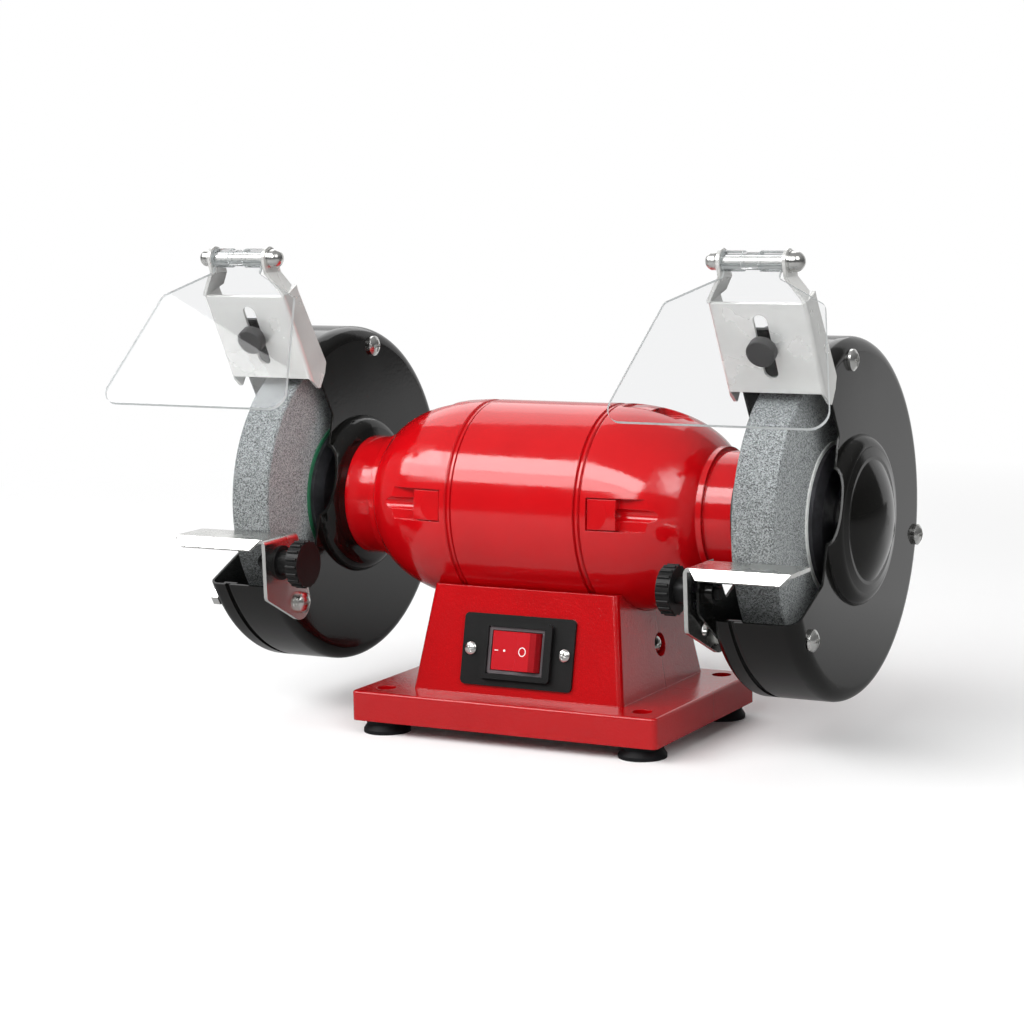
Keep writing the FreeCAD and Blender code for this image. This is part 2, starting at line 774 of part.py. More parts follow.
def switch_plate_screws():
    screws = []
    for x, turn in ((-PLATE_SCREW_X, PLATE_SCREW_TURN), (PLATE_SCREW_X, -PLATE_SCREW_TURN)):
        seat = on_slope(x, SWITCH_MID, FACE_PLATE_T)
        head = crossed_head(seat, slope_out(), PLATE_SCREW_HEAD_R, PLATE_SCREW_HEAD, turn)
        shank = Part.makeCylinder(PLATE_SCREW_R, PLATE_SCREW_LENGTH, seat, slope_out() * -1)
        screws.append(fused([head, shank]))
    return group(screws)


def switch_bezel():
    top = FACE_PLATE_T + BEZEL_T
    bezel = switch_block(BEZEL_W, BEZEL_H, FACE_PLATE_T, top, BEZEL_CORNER)
    return bezel.cut(switch_block(FRAME_W + 2 * SEAT, FRAME_H + 2 * SEAT, 0, top + OVERRUN))


def switch_frame():
    """Grey switch body: a collar inside the bezel and a case through the casting's wall."""
    top = FACE_PLATE_T + FRAME_T
    collar = switch_block(FRAME_W, FRAME_H, FACE_PLATE_T, top, FRAME_CORNER)
    case_w = FRAME_W - 2 * FRAME_RIM - 2 * SEAT
    case_h = FRAME_H - 2 * FRAME_RIM - 2 * SEAT
    case = switch_block(case_w, case_h, OVERRUN - SWITCH_BODY_DEPTH, top)
    well_w = ROCKER_W + 2 * ROCKER_CLEAR
    well_h = ROCKER_H + 2 * ROCKER_CLEAR
    well = switch_block(well_w, well_h, top - SWITCH_WELL, top + OVERRUN)
    body = fused([collar, case]).cut(well)
    pivot = on_slope(0, SWITCH_MID - case_h / 2, top - ROCKER_PIVOT_DEPTH)
    pin_hole = Part.makeCylinder(ROCKER_PIN_R + RUNNING, case_h, pivot, slope_up())
    return body.cut(pin_hole)


def rocker():
    """Rocker with a shallow V across its face, thrown to one end on a pin along the slope.
    Its ends are arcs about the pin, so they sweep the well's walls at an even clearance."""
    frame_top = FACE_PLATE_T + FRAME_T
    pivot_out = frame_top - ROCKER_PIVOT_DEPTH
    half = ROCKER_W / 2
    rise = half * math.tan(math.radians(ROCKER_SWING / 2))
    low = frame_top - ROCKER_DEPTH
    valley = frame_top + ROCKER_CROWN
    points = [(-half, low), (half, low), (half, valley + rise), (0, valley), (-half, valley + rise)]
    start = SWITCH_MID - ROCKER_H / 2
    block = face_of([on_slope(x, start, out) for x, out in points]).extrude(slope_up() * ROCKER_H)
    sweep_start = on_slope(0, start - OVERRUN, pivot_out)
    block = block.common(Part.makeCylinder(half, ROCKER_H + 2 * OVERRUN, sweep_start, slope_up()))
    pin_start = on_slope(0, start - ROCKER_PIN_REACH, pivot_out)
    pin = Part.makeCylinder(ROCKER_PIN_R, ROCKER_H + 2 * ROCKER_PIN_REACH, pin_start, slope_up())
    piece = fused([block, pin])
    piece.rotate(pin_start, slope_up(), -ROCKER_SWING / 2)
    return piece


# ---- Motor ----------------------------------------------------------------------------

def radial_box(x0, x1, width, r0, r1, degrees):
    """Box between two distances from the shaft axis, turned to an angle from the front up."""
    box = Part.makeBox(x1 - x0, width, r1 - r0, at_shaft(x0, -width / 2, r0))
    box.rotate(at_shaft(0, 0, 0), X_AXIS, 90 - degrees)
    return box


def pocket_rod(x0, x1, radius, axis_r, degrees):
    """Rod along X at a distance from the shaft axis, at an angle from the front up."""
    piece = rod(x0, x1, 0, axis_r, radius)
    piece.rotate(at_shaft(0, 0, 0), X_AXIS, 90 - degrees)
    return piece


def motor_shell():
    inner = BODY_R - SHELL_WALL
    lug_start = STACK_HALF + SHELL_LUG_GAP
    shell = ring(-BAND_HALF, BAND_HALF, inner, BODY_R)
    bands = ring(-SHELL_HALF, SHELL_HALF, inner, BODY_R - BAND_STEP)
    shell = fused([shell, bands])
    lugs = []
    holes = []
    for angle in POCKET_ANGLES:
        for side in (-1, 1):
            near, far = sorted((side * lug_start, side * SHELL_HALF))
            low = BELL_SCREW_AXIS_R - SHELL_LUG_INSET
            lugs.append(radial_box(near, far, SHELL_LUG_WIDTH, low, inner + OVERRUN, angle))
        holes.append(pocket_rod(-SHELL_HALF, SHELL_HALF, BELL_SCREW_R, BELL_SCREW_AXIS_R, angle))
    return fused([shell] + lugs).cut(holes)


def right_end_bell():
    x0 = SHELL_HALF
    groove_end = x0 + JOINT_GROOVE
    step_r = bell_radius(BELL_END)
    neck_r = step_r - STEP_DROP
    outer = [
        (x0, 0),
        (x0, BODY_R - JOINT_GROOVE),
        (groove_end, bell_radius(groove_end)),
        bell_curve(groove_end, BELL_END, 0),
        (STEP_END, step_r),
        (STEP_END, neck_r),
        (NECK_END, neck_r),
        (NECK_END, 0),
    ]
    solid = turned(outer)
    seat_in = BEARING_OUT - BEARING_WIDTH - WAVE_THICK
    hollow_end = seat_in - BEARING_WALL
    hollow = [
        (x0 - OVERRUN, 0),
        (x0 - OVERRUN, BODY_R - BELL_WALL),
        (x0, BODY_R - BELL_WALL),
        bell_curve(x0, hollow_end, -BELL_WALL),
        (hollow_end, 0),
    ]
    bell = solid.cut(turned(hollow))
    bell = bell.cut(ring(hollow_end - OVERRUN, BEARING_OUT, 0, BEARING_R))
    bell = bell.cut(ring(BEARING_OUT - OVERRUN, NECK_END + OVERRUN, 0, SHAFT_CORE_R))
    pads = []
    pad_width = POCKET_WIDTH + 2 * BELL_WALL
    pad_floor = POCKET_FLOOR_R - BELL_WALL
    for angle in POCKET_ANGLES:
        pads.append(radial_box(x0, hollow_end - PAD_INSET, pad_width, pad_floor, BODY_R, angle))
    bell = fused([bell] + [pad.common(solid) for pad in pads])
    channel_r = BELL_SCREW_HEAD_R + SCREW_CLEAR
    hole_r = BELL_SCREW_R + SCREW_CLEAR
    block_floor = POCKET_FLOOR_R - OVERRUN
    for angle in POCKET_ANGLES:
        pocket = radial_box(POCKET_START, BELL_END, POCKET_WIDTH, POCKET_FLOOR_R, 2 * BODY_R, angle)
        block = radial_box(BLOCK_START, BLOCK_END, BLOCK_WIDTH, block_floor, BLOCK_TOP_R, angle)
        channel = pocket_rod(BELL_SCREW_SEAT, BELL_END, channel_r, BELL_SCREW_AXIS_R, angle)
        hole = pocket_rod(x0 - OVERRUN, BLOCK_END, hole_r, BELL_SCREW_AXIS_R, angle)
        bell = bell.cut([pocket.cut(block), channel, hole])
    tapped = NECK_END - MOUNT_SCREW_DEPTH
    for y, z in mount_screw_places():
        bell = bell.cut(rod(tapped, NECK_END + OVERRUN, y, z, MOUNT_SCREW_R))
    return bell


def bell_screws():
    screws = []
    for angle in POCKET_ANGLES:
        start = SHELL_HALF - BELL_SCREW_DEPTH
        shank = pocket_rod(start, BELL_SCREW_SEAT, BELL_SCREW_R, BELL_SCREW_AXIS_R, angle)
        y, z = polar(BELL_SCREW_AXIS_R, 180 - angle)
        seat = at_shaft(BELL_SCREW_SEAT, y, z)
        head = domed_head(seat, X_AXIS, BELL_SCREW_HEAD_R, BELL_SCREW_HEAD)
        screw = fused([shank, head])
        screws += [screw, mirrored(screw)]
    return group(screws)


def slot_tools(r0, r1, width):
    """Radial slots all round, for the stator's teeth."""
    step = 360.0 / SLOT_COUNT
    end = STACK_HALF + OVERRUN
    return [radial_box(-end, end, width, r0, r1, step * i) for i in range(SLOT_COUNT)]


def stator_core():
    outer = BODY_R - SHELL_WALL
    core = ring(-STACK_HALF, STACK_HALF, STATOR_BORE_R, outer)
    floor = STATOR_BORE_R + SLOT_LIP
    deep = slot_tools(floor, STATOR_BORE_R + SLOT_DEPTH, SLOT_WIDTH)
    mouths = slot_tools(STATOR_BORE_R - OVERRUN, floor + OVERRUN, SLOT_MOUTH)
    return core.cut(deep + mouths)


def stator_windings():
    """Copper in the slots and the end turns that stand out past the core."""
    step = 360.0 / SLOT_COUNT
    r0 = STATOR_BORE_R + SLOT_LIP + SEAT
    r1 = STATOR_BORE_R + SLOT_DEPTH - SEAT
    reach = STACK_HALF + COIL_REACH
    width = SLOT_WIDTH - 2 * SEAT
    lead = reach - COIL_LEAD
    bars = [radial_box(-lead, lead, width, r0, r1, step * i) for i in range(SLOT_COUNT)]
    end_turn = ring(STACK_HALF + COIL_LEAD, reach, r0 - COIL_SWELL, r1 + COIL_SWELL)
    return fused([end_turn, mirrored(end_turn)] + bars)


def rotor_core():
    half = STACK_HALF + ROTOR_REACH
    return ring(-half, half, SHAFT_CORE_R, STATOR_BORE_R - AIR_GAP)


def shaft():
    """Stepped shaft: core seat, bearing seats, wheel seats."""
    seat_in = BEARING_OUT - BEARING_WIDTH
    half = [
        (0, 0),
        (0, SHAFT_CORE_R),
        (seat_in, SHAFT_CORE_R),
        (seat_in, BEARING_BORE_R),
        (INNER_FLANGE_HUB, BEARING_BORE_R),
        (INNER_FLANGE_HUB, SPINDLE_R),
        (SPINDLE_END - SPINDLE_CHAMFER, SPINDLE_R),
        (SPINDLE_END, SPINDLE_R - SPINDLE_CHAMFER),
        (SPINDLE_END, 0),
    ]
    right = turned(half)
    return fused([right, mirrored(right)])


def race_pair(r_in, r_out):
    """The same bearing ring at both ends, with its ball groove."""
    x0 = BEARING_OUT - BEARING_WIDTH
    track_r = (BEARING_BORE_R + BEARING_R) / 2
    groove = Part.makeTorus(track_r, BALL_R + RUNNING, at_shaft(x0 + BEARING_WIDTH / 2, 0, 0), X_AXIS)
    race = ring(x0, BEARING_OUT, r_in, r_out).cut(groove)
    return group([race, mirrored(race)])


def bearing_balls():
    track_r = (BEARING_BORE_R + BEARING_R) / 2
    mid = BEARING_OUT - BEARING_WIDTH / 2
    balls = []
    for i in range(BALL_COUNT):
        y, z = polar(track_r, 360.0 * i / BALL_COUNT)
        for side in (-1, 1):
            balls.append(Part.makeSphere(BALL_R, at_shaft(side * mid, y, z)))
    return group(balls)


def wave_washer():
    """Preload washer behind the right bearing."""
    x1 = BEARING_OUT - BEARING_WIDTH
    return ring(x1 - WAVE_THICK, x1, BEARING_R - WAVE_WIDTH, BEARING_R - SEAT)


def capacitor():
    """Run capacitor lying in the pedestal, on its clip's height above the cover."""
    z = FOOT_HEIGHT + COVER_THICK + CAPACITOR_R + CAPACITOR_SEAT
    start = Vector(-CAPACITOR_LENGTH / 2, SHAFT_Y + CAPACITOR_BACK, z)
    return Part.makeCylinder(CAPACITOR_R, CAPACITOR_LENGTH, start, X_AXIS)


# ---- Wheels ---------------------------------------------------------------------------

def wheel():
    return turned([
        (WHEEL_IN, SPINDLE_R + RUNNING),
        (WHEEL_IN, WHEEL_R - WHEEL_EDGE),
        (WHEEL_IN + WHEEL_EDGE, WHEEL_R),
        (WHEEL_OUT - WHEEL_EDGE, WHEEL_R),
        (WHEEL_OUT, WHEEL_R - WHEEL_EDGE),
        (WHEEL_OUT, SPINDLE_R + RUNNING),
    ])


def blotters():
    bore = SPINDLE_R + RUNNING
    inner = ring(WHEEL_IN - BLOTTER_THICK, WHEEL_IN, bore, BLOTTER_R)
    outer = ring(WHEEL_OUT, WHEEL_OUT + BLOTTER_THICK, bore, BLOTTER_R)
    return group([inner, outer])


def clamp_flange(face_x, back_x, hub_x):
    """Dished steel flange that touches the blotter only at its rim."""
    out = 1 if back_x > face_x else -1
    bore = SPINDLE_R + RUNNING
    return turned([
        (face_x + out * FLANGE_RELIEF, bore),
        (face_x + out * FLANGE_RELIEF, FLANGE_R - FLANGE_RIM),
        (face_x, FLANGE_R - FLANGE_RIM),
        (face_x, FLANGE_R),
        (face_x + out * FLANGE_EDGE, FLANGE_R),
        (back_x, FLANGE_R - FLANGE_SLOPE),
        (back_x, FLANGE_SHOULDER_R),
        (hub_x, FLANGE_HUB_R),
        (hub_x, bore),
    ])


def inner_flange():
    face = WHEEL_IN - BLOTTER_THICK
    return clamp_flange(face, face - FLANGE_BACK, INNER_FLANGE_HUB)


def outer_flange():
    face = WHEEL_OUT + BLOTTER_THICK
    return clamp_flange(face, face + FLANGE_BACK, face + FLANGE_THICK)


def shaft_nut():
    start = WHEEL_OUT + BLOTTER_THICK + FLANGE_THICK
    end = start + NUT_HEIGHT
    nut = hexagon(start, end, 0, 0, NUT_FLATS)
    return nut.cut(ring(start - OVERRUN, end + OVERRUN, 0, SPINDLE_R + RUNNING))


# ---- Guards ---------------------------------------------------------------------------

def pressing_outline(open_x, face_x, corner, domed, t):
    """Outline (x, r) of a pressed guard half; t is the depth below its outer surface."""
    out = 1 if face_x > open_x else -1
    face = face_x - out * t
    bend = corner * (1 - math.sqrt(0.5)) + t * math.sqrt(0.5)
    top = face_x + out * BOSS_HEIGHT if domed else math.copysign(NECK_END, face_x)
    shoulder_x = top - out * (BOSS_SHOULDER_DROP + t)
    bulge_x = (face + shoulder_x) / 2 + out * BOSS_BULGE
    bulge_r = (BOSS_FOOT_R + BOSS_SHOULDER_R) / 2 + BOSS_BULGE - t * 0.3
    shoulder = [("arc", (bulge_x, bulge_r), (shoulder_x, BOSS_SHOULDER_R - t * 0.2))]
    if domed:
        sphere_r = (DOME_R ** 2 + DOME_HEIGHT ** 2) / (2 * DOME_HEIGHT)
        centre_x = top + out * (DOME_HEIGHT - sphere_r)
        spread = math.asin(DOME_R / sphere_r)
        dome = [
            (centre_x + out * (sphere_r - t) * math.cos(turn), (sphere_r - t) * math.sin(turn))
            for turn in (spread, spread / 2)
        ]
        apex = (centre_x + out * (sphere_r - t), 0)
        end = shoulder + [(top - out * t, BOSS_TOP_R), dome[0], ("arc", dome[1], apex)]
    else:
        end = shoulder + [
            (top - out * t, BOSS_TOP_R),
            (top - out * t, 0),
        ]
    return [
        (open_x, 0),
        (open_x, GUARD_R - t),
        (face_x - out * corner, GUARD_R - t),
        ("arc", (face_x - out * bend, GUARD_R - bend), (face, GUARD_R - corner)),
        (face, BOSS_FOOT_R - t * 0.4),
    ] + end


def opening_prism(x0, x1):
    """Everything in front of the guard's edge, where the wheel is open to the work."""
    far = 3 * GUARD_R
    y, z = polar(far, OPENING_TOP_SLOPE)
    top = (OPENING_TOP[0] + y, OPENING_TOP[1] + z)
    dy = OPENING_LIP[0] - OPENING_INNER[0]
    dz = OPENING_LIP[1] - OPENING_INNER[1]
    low = (OPENING_INNER[0] + dy * 8, OPENING_INNER[1] + dz * 8)
    corners = [
        (OPENING_TOP[0], OPENING_TOP[1], OPENING_CORNER),
        (top[0], top[1], 0),
        (low[0] - far, low[1], 0),
        (low[0], low[1], 0),
        (OPENING_INNER[0], OPENING_INNER[1], OPENING_CORNER),
    ]
    return slab_yz(corners, x0, x1)


def guard_half(open_x, face_x, corner, domed, holes):
    """One pressed half: skin, bolt holes and the front opening."""
    skin = turned(pressing_outline(open_x, face_x, corner, domed, 0))
    skin = skin.cut(turned(pressing_outline(open_x, face_x, corner, domed, GUARD_SHEET)))
    tools = [opening_prism(face_x - GUARD_R, face_x + GUARD_R)]
    wall = (face_x - DEEP_CORNER, face_x + DEEP_CORNER)
    tools += [rod(wall[0], wall[1], y, z, BOLT_R + SCREW_CLEAR) for y, z in holes]
    if not domed:
        end = math.copysign(NECK_END, face_x)
        ends = (end - 2 * GUARD_SHEET, end + 2 * GUARD_SHEET)
        tools.append(ring(*ends, 0, BOSS_HOLE_R))
        for y, z in mount_screw_places():
            tools.append(rod(*ends, y, z, MOUNT_SCREW_R + SCREW_CLEAR))
    return skin, tools


def joggled_lip(open_x, face_x):
    """Lip of the shallow half that slides under the wall of the deep half."""
    into = 1 if open_x > face_x else -1
    r_out = GUARD_R - GUARD_SHEET - LIP_CLEAR
    r_in = r_out - GUARD_SHEET
    back = open_x - into * LIP_ROOT
    return turned([
        (back, r_in),
        (open_x + into * LIP_LENGTH, r_in),
        (open_x + into * LIP_LENGTH, r_out),
        (open_x, r_out),
        (open_x, GUARD_R - LIP_STEP),
        (back, GUARD_R - LIP_STEP),
    ])


def bolt_places(bolts):
    return [polar(radius, angle) for radius, angle in bolts]


def mount_screw_places():
    step = 360.0 / MOUNT_SCREW_COUNT
    return [polar(MOUNT_SCREW_AT, MOUNT_SCREW_TURN + step * i) for i in range(MOUNT_SCREW_COUNT)]


def rest_tab(face_x, into, bolt):
    """Ear of the guard's side wall with the tool rest's clamp nut, and the holes through it
    for the clamp and for the bolt of the rest's eye."""
    y, z = KNOB_AXIS
    corners = [
        (y - TAB_R, z + TAB_R, TAB_R * 0.9),
        (y + TAB_R * 1.5, z + TAB_R, TAB_SHOULDER_R),
        (*TAB_ROOT, 0),
        (*TAB_HEEL, 0),
        (y - TAB_R, z - TAB_R, TAB_R * 0.6),
    ]
    start = face_x + into * GUARD_SHEET
    end = start + into * TAB_NUT
    tab = slab_yz(corners, face_x, start)
    nut = rod(start, end, y, z, TAB_NUT_R)
    through = (face_x - into * OVERRUN, end + into * OVERRUN)
    clamp_hole = rod(*through, y, z, KNOB_BOLT_R + RUNNING)
    bolt_hole = rod(*through, *bolt, BOLT_R + SCREW_CLEAR)
    return [tab, nut], [clamp_hole, bolt_hole]


def plate_point(x, down, behind):
    """Point of the bracket plate's frame: along X, down the plate, behind its front."""
    y = PLATE_TOP[0] + DOWN_PLATE[0] * down + BEHIND_PLATE[0] * behind
    z = PLATE_TOP[1] + DOWN_PLATE[1] * down + BEHIND_PLATE[1] * behind
    return at_shaft(x, y, z)


def lug_foot(middle, gap):
    """Curved foot of the strap against the inside of the guard's rim, grown by a gap."""
    half = LUG_HALF + gap
    x0 = middle - half
    r_out = GUARD_R - GUARD_SHEET
    foot = ring(x0, x0 + 2 * half, r_out - LUG_SHEET - gap, r_out + LUG_WELD)
    sector = [at_shaft(x0, 0, 0)]
    for angle in (OPENING_TOP_SLOPE + gap, OPENING_TOP_SLOPE - LUG_FOOT_ANGLE - gap):
        sector.append(at_shaft(x0, *polar(3 * r_out, angle)))
    return foot.common(face_of(sector).extrude(Vector(2 * half, 0, 0)))


def bracket_lug(middle):
    """Strap on the deep half's rim with the nut for the bracket's thumb screw."""
    d0 = BRACKET_SHEET + LUG_CLEAR
    d1 = d0 + LUG_SHEET
    x0 = middle - LUG_HALF
    width = Vector(2 * LUG_HALF, 0, 0)
    r_out = GUARD_R - GUARD_SHEET
    r_in = r_out - LUG_SHEET
    foot_out = polar(r_out, OPENING_TOP_SLOPE - 1)
    foot_in = polar(r_in, OPENING_TOP_SLOPE - 1)
    strap = face_of([
        plate_point(x0, LUG_TOP, d0),
        plate_point(x0, LUG_BOTTOM, d0),
        at_shaft(x0, *foot_in),
        at_shaft(x0, *foot_out),
        plate_point(x0, LUG_BOTTOM - LUG_SHEET, d1),
        plate_point(x0, LUG_TOP, d1),
    ]).extrude(width)
    foot = lug_foot(middle, 0)
    back = Vector(0, *BEHIND_PLATE)
    nut = Part.makeCylinder(LUG_NUT_R, LUG_NUT, plate_point(middle, CLAMP_AT, d1), back)
    hole_start = plate_point(middle, CLAMP_AT, d0 - OVERRUN)
    hole_length = LUG_SHEET + LUG_NUT + 2 * OVERRUN
    hole = Part.makeCylinder(THUMB_BOLT_R + RUNNING, hole_length, hole_start, back)
    return [strap, foot, nut], hole


def deep_half(side):
    """Deep half of a guard; its face is outboard on the right and inboard on the left."""
    if side > 0:
        face_x = GUARD_OUTER_X
        open_x = GUARD_INNER_X + SHALLOW_DEPTH + SEAM_GAP
        holes = bolt_places(RIGHT_BOLTS)
    else:
        face_x = -GUARD_INNER_X
        open_x = -(GUARD_OUTER_X - SHALLOW_DEPTH - SEAM_GAP)
        holes = bolt_places(LEFT_BOLTS)
    skin, tools = guard_half(open_x, face_x, DEEP_CORNER, side > 0, holes)
    skin = skin.cut(tools)
    strap, hole = bracket_lug(side * BRACKET_MID)
    pieces = [skin] + strap
    cuts = [hole]
    if side < 0:
        tab, tab_holes = rest_tab(face_x, -1, holes[2])
        pieces += tab
        cuts += tab_holes
    return fused(pieces).cut(cuts)


def shallow_half(side):
    """Shallow half of a guard; inboard on the right, outboard on the left."""
    if side > 0:
        face_x = GUARD_INNER_X
        open_x = face_x + SHALLOW_DEPTH
        holes = bolt_places(RIGHT_BOLTS)
    else:
        face_x = -GUARD_OUTER_X
        open_x = face_x + SHALLOW_DEPTH
        holes = bolt_places(LEFT_BOLTS)
    skin, tools = guard_half(open_x, face_x, SHALLOW_CORNER, side < 0, holes)
    lip = joggled_lip(open_x, face_x).cut(lug_foot(side * BRACKET_MID, LUG_CLEAR))
    skin = fused([skin, lip]).cut(tools)
    if side < 0:
        return skin
    tab, tab_holes = rest_tab(face_x, 1, holes[2])
    return fused([skin] + tab).cut(tab_holes)


def guard_bolts():
    """Long bolts across both guards, heads towards +X; the lowest also carries the rest."""
    bolts = []
    leg = REST_LEG_X
    for side, places in ((1, bolt_places(RIGHT_BOLTS)), (-1, bolt_places(LEFT_BOLTS))):
        for i, (y, z) in enumerate(places):
            head_x = GUARD_OUTER_X if side > 0 else -GUARD_INNER_X
            end_x = GUARD_INNER_X if side > 0 else -GUARD_OUTER_X
            if i == 2 and side < 0:
                head_x = -leg + WASHER_THICK
            if i == 2 and side > 0:
                end_x = leg - WASHER_THICK
            head = crossed_head(at_shaft(head_x, y, z), X_AXIS, BOLT_HEAD_R, BOLT_HEAD)
            shank = rod(end_x - BOLT_NUT - BOLT_END, head_x, y, z, BOLT_R)
            bolts.append(fused([head, shank]))
    return group(bolts)


def guard_nuts():
    nuts = []
    for side, places in ((1, bolt_places(RIGHT_BOLTS)), (-1, bolt_places(LEFT_BOLTS))):
        for i, (y, z) in enumerate(places):
            end_x = GUARD_INNER_X if side > 0 else -GUARD_OUTER_X
            if i == 2 and side > 0:
                end_x = REST_LEG_X - WASHER_THICK
            start_x = end_x - BOLT_NUT
            nut = hexagon(start_x, end_x, y, z, BOLT_NUT_FLATS)
            hole = rod(start_x - OVERRUN, end_x + OVERRUN, y, z, BOLT_R + RUNNING)
            nuts.append(nut.cut(hole))
    return group(nuts)


def rest_washers():
    """Washers on both sides of each rest's eye."""
    washers = []
    for side, bolts in ((1, RIGHT_BOLTS), (-1, LEFT_BOLTS)):
        y, z = polar(*bolts[2])
        outer = REST_LEG_X - WASHER_THICK
        inner = REST_LEG_X + REST_SHEET
        for a, b in ((outer, REST_LEG_X), (inner, GUARD_INNER_X)):
            washer = rod(side * a, side * b, y, z, WASHER_R)
            hole = rod(side * (a - OVERRUN), side * (b + OVERRUN), y, z, BOLT_R + RUNNING)
            washers.append(washer.cut(hole))
    return group(washers)


def guard_mount_screws():
    """Screws that hold each guard's boss to the motor's neck."""
    screws = []
    for y, z in mount_screw_places():
        seat = NECK_END + GUARD_SHEET
        shank = rod(NECK_END - MOUNT_SCREW_DEPTH, seat, y, z, MOUNT_SCREW_R)
        head = domed_head(at_shaft(seat, y, z), X_AXIS, MOUNT_SCREW_HEAD_R, MOUNT_SCREW_HEAD)
        screw = fused([shank, head])
        screws += [screw, mirrored(screw)]
    return group(screws)


# ---- Tool rests -----------------------------------------------------------------------

def rest_eye(side):
    return polar(*(RIGHT_BOLTS if side > 0 else LEFT_BOLTS)[2])


def tool_rest(side):
    """Bent sheet: a leg on the guard's bolt, a table in front of the wheel, a front lip."""
    eye = rest_eye(side)
    foot_touch = tangent_point(REST_LEG_FOOT, eye, REST_EYE_R, 1)
    back_touch = tangent_point(REST_LEG_BACK, eye, REST_EYE_R, -1)
    corners = [
        (REST_FRONT, REST_TOP, 0),
        (*REST_LEG_FOOT, REST_LEG_CORNER),
        (*foot_touch, 0),
        (*eye, 0),
        (*back_touch, 0),
        (*REST_LEG_BACK, 0),
    ]
    x0 = REST_LEG_X
    leg = slab_yz(corners, x0, x0 + REST_SHEET)
    leg = leg.fuse(rod(x0, x0 + REST_SHEET, *eye, REST_EYE_R))
    back = -math.sqrt(WHEEL_R ** 2 - REST_TOP ** 2) - WHEEL_GAP
    table = slab_yz([
        (REST_FRONT, REST_TOP, 0),
        (back, REST_TOP, 0),
        (back, REST_TOP - REST_SHEET, 0),
        (REST_FRONT, REST_TOP - REST_SHEET, 0),
    ], x0, REST_END_X)
    lip_low = (REST_FRONT - REST_LIP_OUT, REST_TOP - REST_LIP_DROP)
    lip_y = (REST_FRONT, lip_low[0])
    slant = math.hypot(REST_LIP_OUT, REST_LIP_DROP)
    across = (REST_LIP_DROP / slant * REST_SHEET, -REST_LIP_OUT / slant * REST_SHEET)
    lip_points = []
    for y, z, inset in ((lip_y[0], REST_TOP, 0), (lip_y[1], lip_low[1], REST_LIP_CHAMFER)):
        lip_points.append((x0 + REST_BEND + inset, y, z))
        lip_points.append((REST_END_X - inset, y, z))
    order = (0, 1, 3, 2)
    lip = face_of([at_shaft(*lip_points[i]) for i in order])
    lip = lip.extrude(Vector(0, across[0], across[1]))
    sheet = fused([leg, table, lip])
    bend = [
        e for e in sheet.Edges
        if abs(e.BoundBox.XMin - x0) < 0.01 and abs(e.BoundBox.XMax - x0) < 0.01
        and e.BoundBox.ZMin > SHAFT_Z + REST_TOP - 0.01
    ]
    sheet = sheet.makeFillet(REST_BEND, bend)
    reach = math.dist(eye, KNOB_AXIS)
    start = math.degrees(math.atan2(KNOB_AXIS[1] - eye[1], KNOB_AXIS[0] - eye[0]))
    slot_r = KNOB_BOLT_R + KNOB_SLOT_CLEAR
    through = (x0 - OVERRUN, x0 + REST_SHEET + OVERRUN)
    cuts = [rod(*through, *eye, BOLT_R + RUNNING)]
    swing = REST_AWAY + REST_TOWARDS
    for i in range(KNOB_SLOT_STEPS + 1):
        turn = math.radians(start - REST_AWAY + i * swing / KNOB_SLOT_STEPS)
        y = eye[0] + reach * math.cos(turn)
        z = eye[1] + reach * math.sin(turn)
        cuts.append(rod(*through, y, z, slot_r))
    if side > 0:
        cuts.append(rod(*through, *REST_SIGHT_HOLE, REST_SIGHT_R))
    sheet = sheet.cut(cuts)
    return sheet if side > 0 else mirrored(sheet)


def rest_knob():
    """Ribbed knob moulded on its bolt, with the washer it bears on."""
    y, z = KNOB_AXIS
    washer_x = REST_LEG_X - WASHER_THICK
    hub = rod(KNOB_HUB_END, washer_x, y, z, KNOB_HUB_R)
    washer = rod(washer_x, REST_LEG_X - SEAT, y, z, KNOB_WASHER_R)
    head = rod(KNOB_HEAD_END, KNOB_HUB_END, y, z, KNOB_HEAD_R - KNOB_RIB_R)
    bolt = rod(KNOB_HUB_END, KNOB_BOLT_END, y, z, KNOB_BOLT_R)
    ribs = []
    for i in range(KNOB_RIBS):
        turn = 2 * math.pi * i / KNOB_RIBS
        rib_y = y + (KNOB_HEAD_R - KNOB_RIB_R) * math.cos(turn)
        rib_z = z + (KNOB_HEAD_R - KNOB_RIB_R) * math.sin(turn)
        ends = (KNOB_HEAD_END + KNOB_EDGE, KNOB_HUB_END - KNOB_EDGE)
        ribs.append(rod(*ends, rib_y, rib_z, KNOB_RIB_R))
    return fused([hub, washer, head, bolt] + ribs)


# ---- Shield brackets ------------------------------------------------------------------

def plate_yz(down, behind):
    """(y, z) from the shaft axis of a place on the bracket plate."""
    y = PLATE_TOP[0] + DOWN_PLATE[0] * down + BEHIND_PLATE[0] * behind
    z = PLATE_TOP[1] + DOWN_PLATE[1] * down + BEHIND_PLATE[1] * behind
    return y, z


